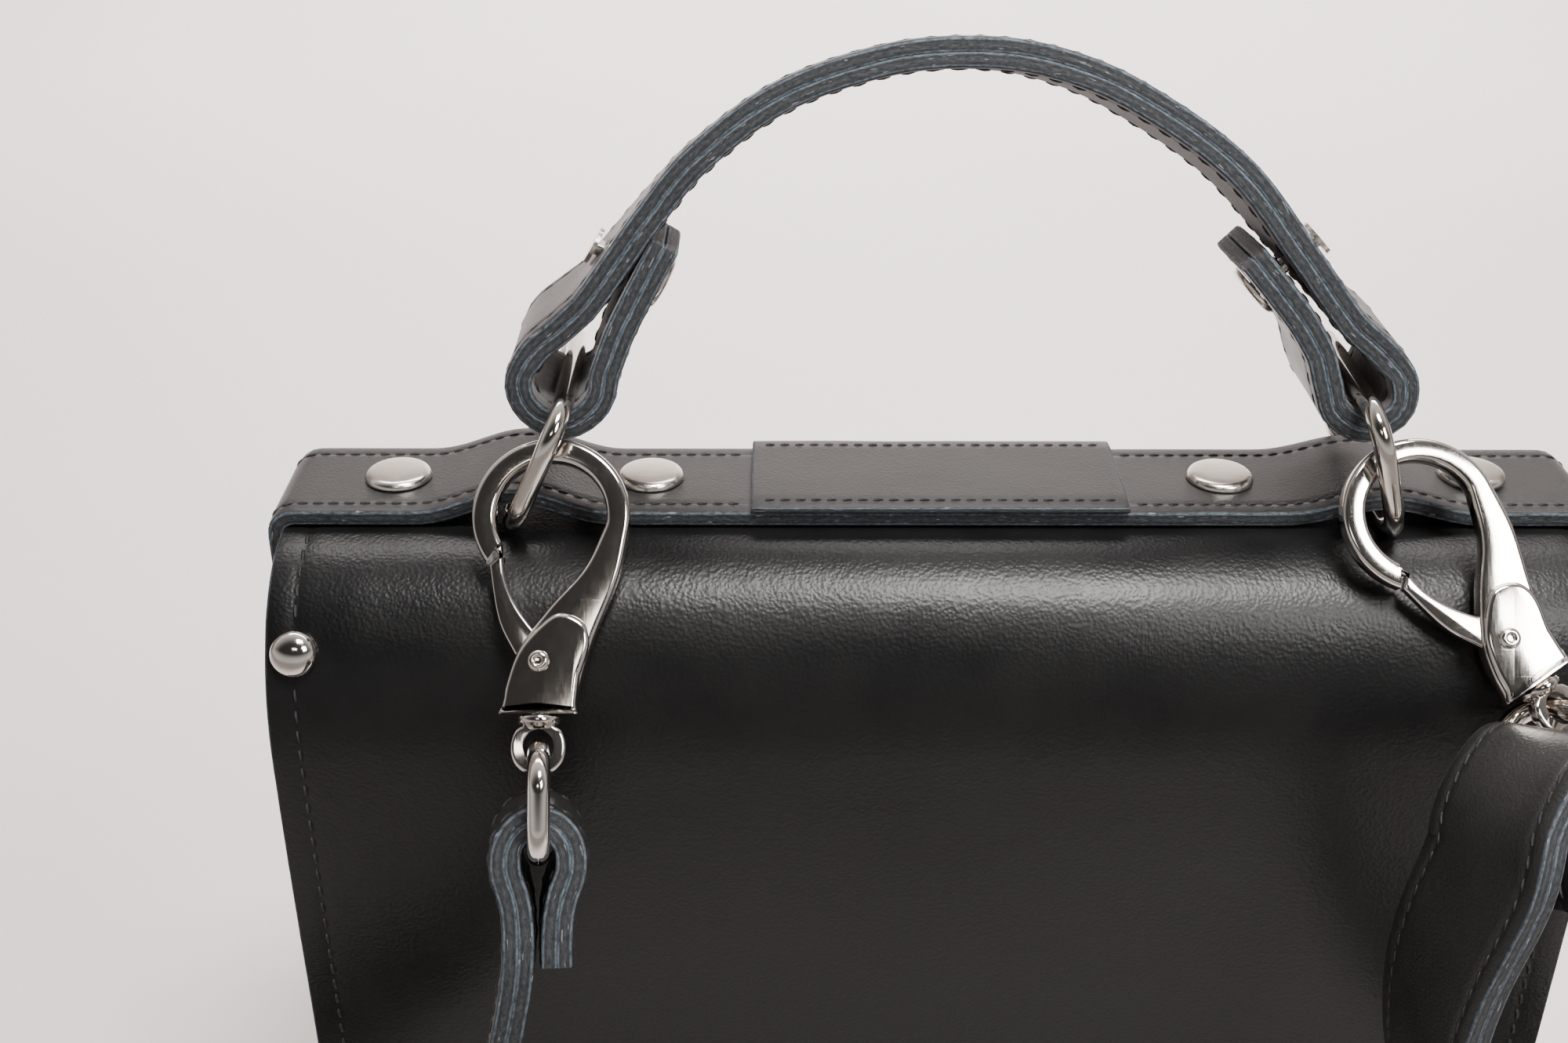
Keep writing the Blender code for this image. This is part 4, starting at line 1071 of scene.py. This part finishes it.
def link_frame(side):
    seat = LINK_SEATS[side]
    along = Vector(seat["along"]).normalized()
    down = Vector(seat["down"])
    down = (down - along * down.dot(along)).normalized()
    start = hook_frame(side) @ Vector((0, -EYE_DROP, 0)) - along * seat["shift"]
    return Matrix.Translation(start) @ Matrix((along.cross(down), along, down)).transposed().to_4x4()


# The strap's seam round each link ring's far bar and down each leg, in mm, as it hangs and lies
OVER_BAR = [(-5.5, -2.0), (-2.2, -5.5), (2.2, -5.5), (5.5, -2.0)]
STRAP_LOOPS = {
    "left": [
        (-3.5, 21), (-3.5, 14), (-4.4, 8), (-6.0, 3.2), *OVER_BAR,
        (6.0, 3.2), (4.4, 8), (3.5, 14), (3.5, 21),
    ],
    "right": [
        (-13.6, 18.2), (-8.5, 15.6), (-5.4, 12.2), (-4.7, 8), (-6.0, 3.2), *OVER_BAR,
        (6.0, 3.6), (4.8, 10), (2.4, 16), (-2.2, 21.6),
    ],
}  # fmt: skip
STRAP_LEGS = {
    "left": [
        (-86.5, 138), (-91, 119), (-102, 98), (-124, 78),
        (-156, 62), (-186, 48), (-203, 29), (-192, 10),
    ],
    "right": [
        (94.2, 158), (93.6, 140), (97, 120), (107, 100), (126, 80),
        (156, 63), (186, 49), (203, 29), (192, 10),
    ],
}  # fmt: skip
STRAP_LAY_Y = -84 * MM


def strap_path():
    """Middle of the shoulder strap's seam and its edge-to-edge directions, end to end."""
    floor = PLY + GAP + 0.2 * MM
    lay = [(x * MM, STRAP_LAY_Y, floor) for x in range(-160, 161, 40)]
    loops = {}
    for side, points in STRAP_LOOPS.items():
        place = link_frame(side)
        loops[side] = [place @ Vector((x * MM, 0, LINK_RING[0] + z * MM)) for x, z in points]
    legs = {side: [(x * MM, STRAP_LAY_Y, z * MM) for x, z in STRAP_LEGS[side]] for side in STRAP_LEGS}
    points = loops["left"] + legs["left"] + lay + legs["right"][::-1] + loops["right"][::-1]
    route = smooth_route([tuple(point) for point in points], 1.6 * MM)
    route[:, 2] = np.maximum(route[:, 2], floor)
    steps = lengths(route)
    level = np.array([0, 1.0, 0])
    yawed = np.array([-0.18, 0.98, 0])
    at_left, at_right = (np.array(link_frame(side).col[1])[:3] for side in ("left", "right"))
    widths = []
    for run in steps:
        if run < steps[-1] / 2:
            share = smooth_step((run - 48 * MM) / (50 * MM))
            widths.append(at_left * (1 - share) + level * share)
        else:
            run = steps[-1] - run
            share = smooth_step((run - 34 * MM) / (90 * MM))
            later = smooth_step((run - 120 * MM) / (120 * MM))
            widths.append(at_right * (1 - share) + (yawed * (1 - later) + level * later) * share)
    return route, unit(np.array(widths))


def make_strap():
    line = strap_path()
    size = (STRAP_WIDTH, STRAP_SEAM)
    materials = [STRAP, CUT, FLESH]
    ply("strap_outer", line, *size, 1, materials, "shoulder_strap", "strap_outer_ply")
    ply("strap_inner", line, *size, -1, materials, "shoulder_strap", "strap_inner_ply")
    strap_stitches("strap_stitches", line, *size, 4.2 * MM, "shoulder_strap")


# ---------------------------------------------------------------- snap hooks


def smooth_outline(points, spacing=0.7 * MM):
    route = smooth_route([(x, y, 0) for x, y in points], spacing)
    return [(float(x), float(y)) for x, y, _ in route]


def rounded_sweep(outer, inner, place, half_thick, corner):
    """(vertices, faces) of a bar between two edge lines, with rounded corners and flat ends."""
    turns = np.radians(np.linspace(0, 90, 6))
    quarter = [(1 - math.cos(a), math.sin(a)) for a in turns]
    vertices = []
    for first, second in zip(np.array(outer), np.array(inner)):
        width = float(np.linalg.norm(first - second))
        across = (first - second) / width
        side = [(corner * inset, half_thick - corner + corner * rise) for inset, rise in quarter]
        section = [(width / 2 - inset, z) for inset, z in side]
        section += [(-x, z) for x, z in section[::-1]]
        section += [(x, -z) for x, z in section[::-1]]
        middle = (first + second) / 2
        for x, z in section:
            point = middle + across * x
            vertices.append(place @ Vector((point[0], point[1], z)))
    corners = 4 * len(quarter)
    return vertices, capped_tube(len(vertices) // corners, corners)


def even_points(points, count):
    route = smooth_route([(x, y, 0) for x, y in points], 0.4 * MM)
    run = lengths(route)
    wanted = np.linspace(0, run[-1], count)
    return [(float(np.interp(d, run, route[:, 0])), float(np.interp(d, run, route[:, 1]))) for d in wanted]


def make_hook(side):
    """The bow and its foot, with a slanted nose that the gate's tip closes against."""
    place = hook_frame(side)
    outer_radius, inner_radius = BOW_RADIUS + BOW_BAR / 2, BOW_RADIUS - BOW_BAR / 2
    right = mm_points([(15.2, 17.0), (10.6, 4.8), (8.2, -4.0), (7.6, -8.6), (8.0, -10.2)])
    left = mm_points([(8.4, 18.8), (1.4, 10.6), (-4.4, 2.2), (-6.6, -4.2), (-7.3, -8.4), (-8.0, -10.2)])
    turn_end = -8
    outer_bow = arc(BOW_CENTRE, outer_radius, 217, turn_end, 90)
    inner_bow = arc(BOW_CENTRE, inner_radius, 208, turn_end, 90)
    outer = outer_bow[:-2] + even_points(outer_bow[-2:] + right, 50)
    inner = inner_bow[:-2] + even_points(inner_bow[-2:] + left, 50)
    vertices, faces = rounded_sweep(outer, inner, place, 2.2 * MM, 1.1 * MM)
    cheek = [(8.0, -3.0), (7.5, -8.6), (7.7, -10.0), (0, -9.3), (-7.7, -10.0), (-7.0, -8.4)]
    cheek += [(-6.3, -4.2), (-4.2, 2.0), (-0.6, 6.6), (3.6, 9.6), (8.4, 8.0), (9.8, 4.0)]
    cheek = smooth_outline(mm_points(cheek + cheek[:1]), 0.9 * MM)[:-1]
    more_vertices, more_faces = bevelled_plate(cheek, place, -3.2 * MM, 3.2 * MM, 1.1 * MM, 5)
    faces += [[len(vertices) + k for k in face] for face in more_faces]
    vertices += more_vertices
    body = make_object(f"hook_bow_{side}", vertices, faces, [NICKEL], sharp=38)
    place_piece(body, f"hook_{side}", "nickel", f"hook_body_{side}")


def make_gate(side):
    """The sprung gate: a knuckle round its pin, a straight arm, and a tip that meets the bow's nose."""
    place = hook_frame(side)
    foot = arc((0, 0), 3.2 * MM, -150, 30, 14)
    outer = mm_points([(-4.9, 1.5), (-8.4, 8.4), (-11.4, 15.6)])
    inner = mm_points([(-7.4, 16.4), (-4.2, 10.0)])
    outer_tip = arc(BOW_CENTRE, BOW_RADIUS + 2.1 * MM, 219.5, 219.5, 1)
    inner_tip = arc(BOW_CENTRE, BOW_RADIUS - 2.1 * MM, 211.5, 211.5, 1)
    step = arc(BOW_CENTRE, BOW_RADIUS - 0.6 * MM, 211.5, 219.0, 3)
    inside = smooth_outline(foot[-1:] + inner[::-1] + inner_tip)
    outside = smooth_outline(outer_tip + outer[1::-1] + foot[:1])
    outline = foot[:-1] + inside + step + outside[:-1]
    vertices, faces = bevelled_plate(outline, place, -1.35 * MM, 1.35 * MM, 0.55 * MM, 4)
    gate = make_object(f"hook_gate_{side}", vertices, faces, [NICKEL], sharp=38)
    place_piece(gate, f"gate_{side}", "nickel", f"gate_{side}")


def make_gate_pin(side):
    """The riveted pin: a rolled head with a small dimple."""
    half = 3.4 * MM
    head = [(0, 0.25), (0.6, 0.3), (0.85, 0.65), (1.3, 0.75), (1.8, 0.6), (2.1, 0.2), (2.1, -0.2)]
    profile = [(r * MM, half + h * MM) for r, h in head]
    profile += [(1.1 * MM, half - 0.3 * MM), (1.1 * MM, -half + 0.3 * MM)]
    profile += [(r * MM, -half - h * MM) for r, h in head[::-1]]
    item = lathe(f"hook_pin_{side}", profile, hook_frame(side), NICKEL, 32, 45)
    place_piece(item, f"hook_{side}", "nickel", f"gate_pin_{side}")


def make_swivel(side):
    """The swivel: a stud and collar, and a flat eye that the link ring passes through."""
    place = hook_frame(side)
    up = place.to_3x3() @ Vector((0, 1, 0))
    facing = -Vector(LINK_SEATS[side]["along"]).normalized()
    facing = (facing - up * facing.dot(up)).normalized()
    upright = axes_frame(place.translation, facing.cross(up), up)
    stud = [(0, -6.8), (1.7, -6.8), (1.7, -10.3), (3.4, -10.4), (4.1, -10.8)]
    stud += [(4.3, -11.4), (4.1, -12.0), (3.2, -12.5), (2.6, -13.0), (0, -13.2)]
    collar = lathe(f"swivel_collar_{side}", mm_points(stud), upright, NICKEL, 40, 40)
    flat = axes_frame(place.translation, up.cross(facing), facing)
    half = [(2.6, -12.2), (4.6, -13.6), (5.4, -16.6), (4.7, -19.6), (2.6, -21.6), (0, -22.0)]
    eye = mm_points(half + [(-x, y) for x, y in half[-2::-1]])
    outline = smooth_outline(eye, 0.6 * MM)
    vertices, faces = bevelled_plate(outline, flat, -1.5 * MM, 1.5 * MM, 0.7 * MM, 4)
    item = make_object(f"swivel_eye_{side}", vertices, faces, [NICKEL], sharp=38)
    middle = -EYE_DROP - 0.2 * MM
    turns = np.radians(range(0, 360, 12))
    hole = [(3.0 * MM * math.cos(a), middle + 3.4 * MM * math.sin(a)) for a in turns]
    cut_by(item, hole, flat, -4 * MM, 4 * MM)
    item.data.shade_smooth()
    item.data.set_sharp_from_angle(angle=math.radians(38))
    place_piece(collar, "shoulder_strap", "nickel")
    place_piece(item, "shoulder_strap", "nickel", f"swivel_{side}")


# ---------------------------------------------------------------- turn lock


def make_lock():
    """The turn lock: a post through the front, the knob that turns on it, and the flap's plate."""
    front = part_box("front_panel")[1].y
    place = axes_frame((0, front, LOCK_Z), (1, 0, 0), (0, 1, 0))
    back = -(LEATHER + GAP)
    profile = [(0, back - 0.9 * MM), (7 * MM, back - 0.9 * MM), (7 * MM, back), (4 * MM, back)]
    profile += mm_points([(4, -0.2), (3.6, 0.2), (2.6, 0.3), (2.4, 5.3), (0, 5.3)])
    place_piece(lathe("turn_post", profile, place, NICKEL), "bag", "nickel", "lock_base")
    knob = [(5.6 * MM * math.cos(a), 2.3 * MM * math.sin(a)) for a in np.radians(range(0, 360, 8))]
    vertices, faces = bevelled_plate(knob, place, 5.6 * MM, 9.6 * MM, 0.8 * MM, 5)
    item = make_object("turn_knob", vertices, faces, [NICKEL], sharp=38)
    place_piece(item, "lock_knob", "nickel", "lock_knob")
    low = FLAP_Y + GAP - front
    outline = arc((12 * MM, 0), 10 * MM, -90, 90, 25) + arc((-12 * MM, 0), 10 * MM, 90, 270, 25)
    vertices, faces = bevelled_plate(outline, place, low, low + 1.5 * MM, 0.7 * MM, 4)
    plate = make_object("turn_plate", vertices, faces, [NICKEL], sharp=38)
    slot = mm_points([(-6.2, -4.2), (6.2, -4.2), (6.2, 4.2), (-6.2, 4.2)])
    cut_by(plate, slot, place, -2 * MM, 20 * MM)
    place_piece(plate, "flap", "nickel", "lock_plate")


# ---------------------------------------------------------------- setting


FLOOR_REACH = 14.0


def backdrop_material():
    graph = Graph("pale_backdrop", (0.80, 0.755, 0.735), 0.8)
    clouds = graph.noise(graph.coordinates(), 2.2, 2)
    tint = graph.ramp(clouds, "Fac", [(0.3, (0.78, 0.735, 0.715)), (0.7, (0.82, 0.78, 0.76))])
    graph.join(tint, "Color", graph.shader, "Base Color")
    return graph.material


def make_backdrop():
    """A pale floor that curves up into a wall behind the bag."""
    path = [(-FLOOR_REACH, 0.0), (1.1, 0.0)] + arc((1.1, 0.9), 0.9, -90, 0, 20)[1:] + [(2.0, 3.2)]
    vertices = []
    for y, z in path:
        vertices += [(-FLOOR_REACH, y, z), (FLOOR_REACH, y, z)]
    faces = grid_faces(len(path), 2)
    make_object("backdrop", vertices, faces, [backdrop_material()])


def add_light(name, place, target, width, height, power, colour, spread=180):
    data = bpy.data.lights.new(name, "AREA")
    data.shape = "RECTANGLE"
    data.size = width
    data.size_y = height
    data.energy = power
    data.color = colour
    data.spread = math.radians(spread)
    item = bpy.data.objects.new(name, data)
    bpy.context.scene.collection.objects.link(item)
    item.location = place
    item.rotation_euler = (Vector(target) - Vector(place)).to_track_quat("-Z", "Y").to_euler()


def world_range(nodes, start, end, low, high):
    """A smooth step of the world's brightness between two values of a direction's coordinate."""
    node = nodes.new("ShaderNodeMapRange")
    node.interpolation_type = "SMOOTHSTEP"
    node.inputs["From Min"].default_value = start
    node.inputs["From Max"].default_value = end
    node.inputs["To Min"].default_value = low
    node.inputs["To Max"].default_value = high
    return node


def make_lights():
    """Two softboxes and a strip over the bag, and one light on the wall behind."""
    softbox = (0.17, -0.25, 1.15), (0.08, 0.12, 0.2)
    add_light("overhead_softbox", *softbox, 0.36, 0.24, 2.6, (1.0, 0.975, 0.96), 62)
    softbox = (0.62, -0.72, 1.0), (0.1, -0.03, 0.2)
    add_light("right_softbox", *softbox, 0.35, 0.35, 0.8, (1.0, 0.98, 0.96), 50)
    strip = (-0.12, -0.95, 1.05), (-0.08, -0.03, 0.2)
    add_light("front_strip", *strip, 0.30, 0.12, 0.05, (1.0, 0.94, 0.88), 50)
    wall = (0.1, 0.95, 1.7), (0.1, 1.5, 0.0)
    add_light("wall_light", *wall, 1.8, 0.6, 56, (1.0, 0.95, 0.935), 120)


def make_world():
    """A world that is bright behind the bag and along the horizon, and dark towards the camera."""
    world = bpy.data.worlds.new("studio")
    bpy.context.scene.world = world
    world.use_nodes = True
    nodes, links = world.node_tree.nodes, world.node_tree.links
    background = nodes["Background"]
    direction = nodes.new("ShaderNodeTexCoord")
    parts = nodes.new("ShaderNodeSeparateXYZ")
    behind = world_range(nodes, -0.55, 0.75, 0.04, 1.25)
    horizon = world_range(nodes, 0.5, 0.12, 0.0, 0.6)
    brighter = nodes.new("ShaderNodeMath")
    brighter.operation = "MAXIMUM"
    links.new(direction.outputs["Generated"], parts.inputs["Vector"])
    links.new(parts.outputs["Y"], behind.inputs["Value"])
    links.new(parts.outputs["Z"], horizon.inputs["Value"])
    links.new(behind.outputs["Result"], brighter.inputs[0])
    links.new(horizon.outputs["Result"], brighter.inputs[1])
    links.new(brighter.outputs["Value"], background.inputs["Strength"])
    background.inputs["Color"].default_value = (1.0, 0.955, 0.935, 1)


def make_camera():
    """The photograph's view, solved from where the rivets and the label patch appear in it."""
    data = bpy.data.cameras.new("camera")
    data.sensor_width = 36
    data.lens = 42.5
    data.clip_start = 0.01
    item = bpy.data.objects.new("camera", data)
    bpy.context.scene.collection.objects.link(item)
    eye = Matrix.Translation((-0.03426, -0.35274, 0.39783))
    turn = Matrix.Rotation(math.radians(-0.294), 4, "Z")
    pitch = Matrix.Rotation(math.radians(61.256), 4, "X")
    roll = Matrix.Rotation(math.radians(0.217), 4, "Z")
    item.matrix_world = eye @ turn @ pitch @ roll
    bpy.context.scene.camera = item


def main():
    make_camera()
    make_backdrop()
    make_lights()
    make_world()
    make_body()
    make_front_panel()
    make_base()
    make_gusset("side_leather_left", -1, "gusset_left")
    make_gusset("side_leather_right", 1, "gusset_right")
    make_strip()
    make_label()
    make_rivets()
    make_handle()
    make_strap()
    for side in ("left", "right"):
        ring_tube(f"strip_ring_{side}", seat_frame(side), STRIP_RING, f"ring_{side}", f"ring_{side}")
        ring_tube(f"strap_ring_{side}", link_frame(side), LINK_RING, "shoulder_strap", f"link_ring_{side}")
        make_hook(side)
        make_gate(side)
        make_gate_pin(side)
        make_swivel(side)
    make_lock()


main()
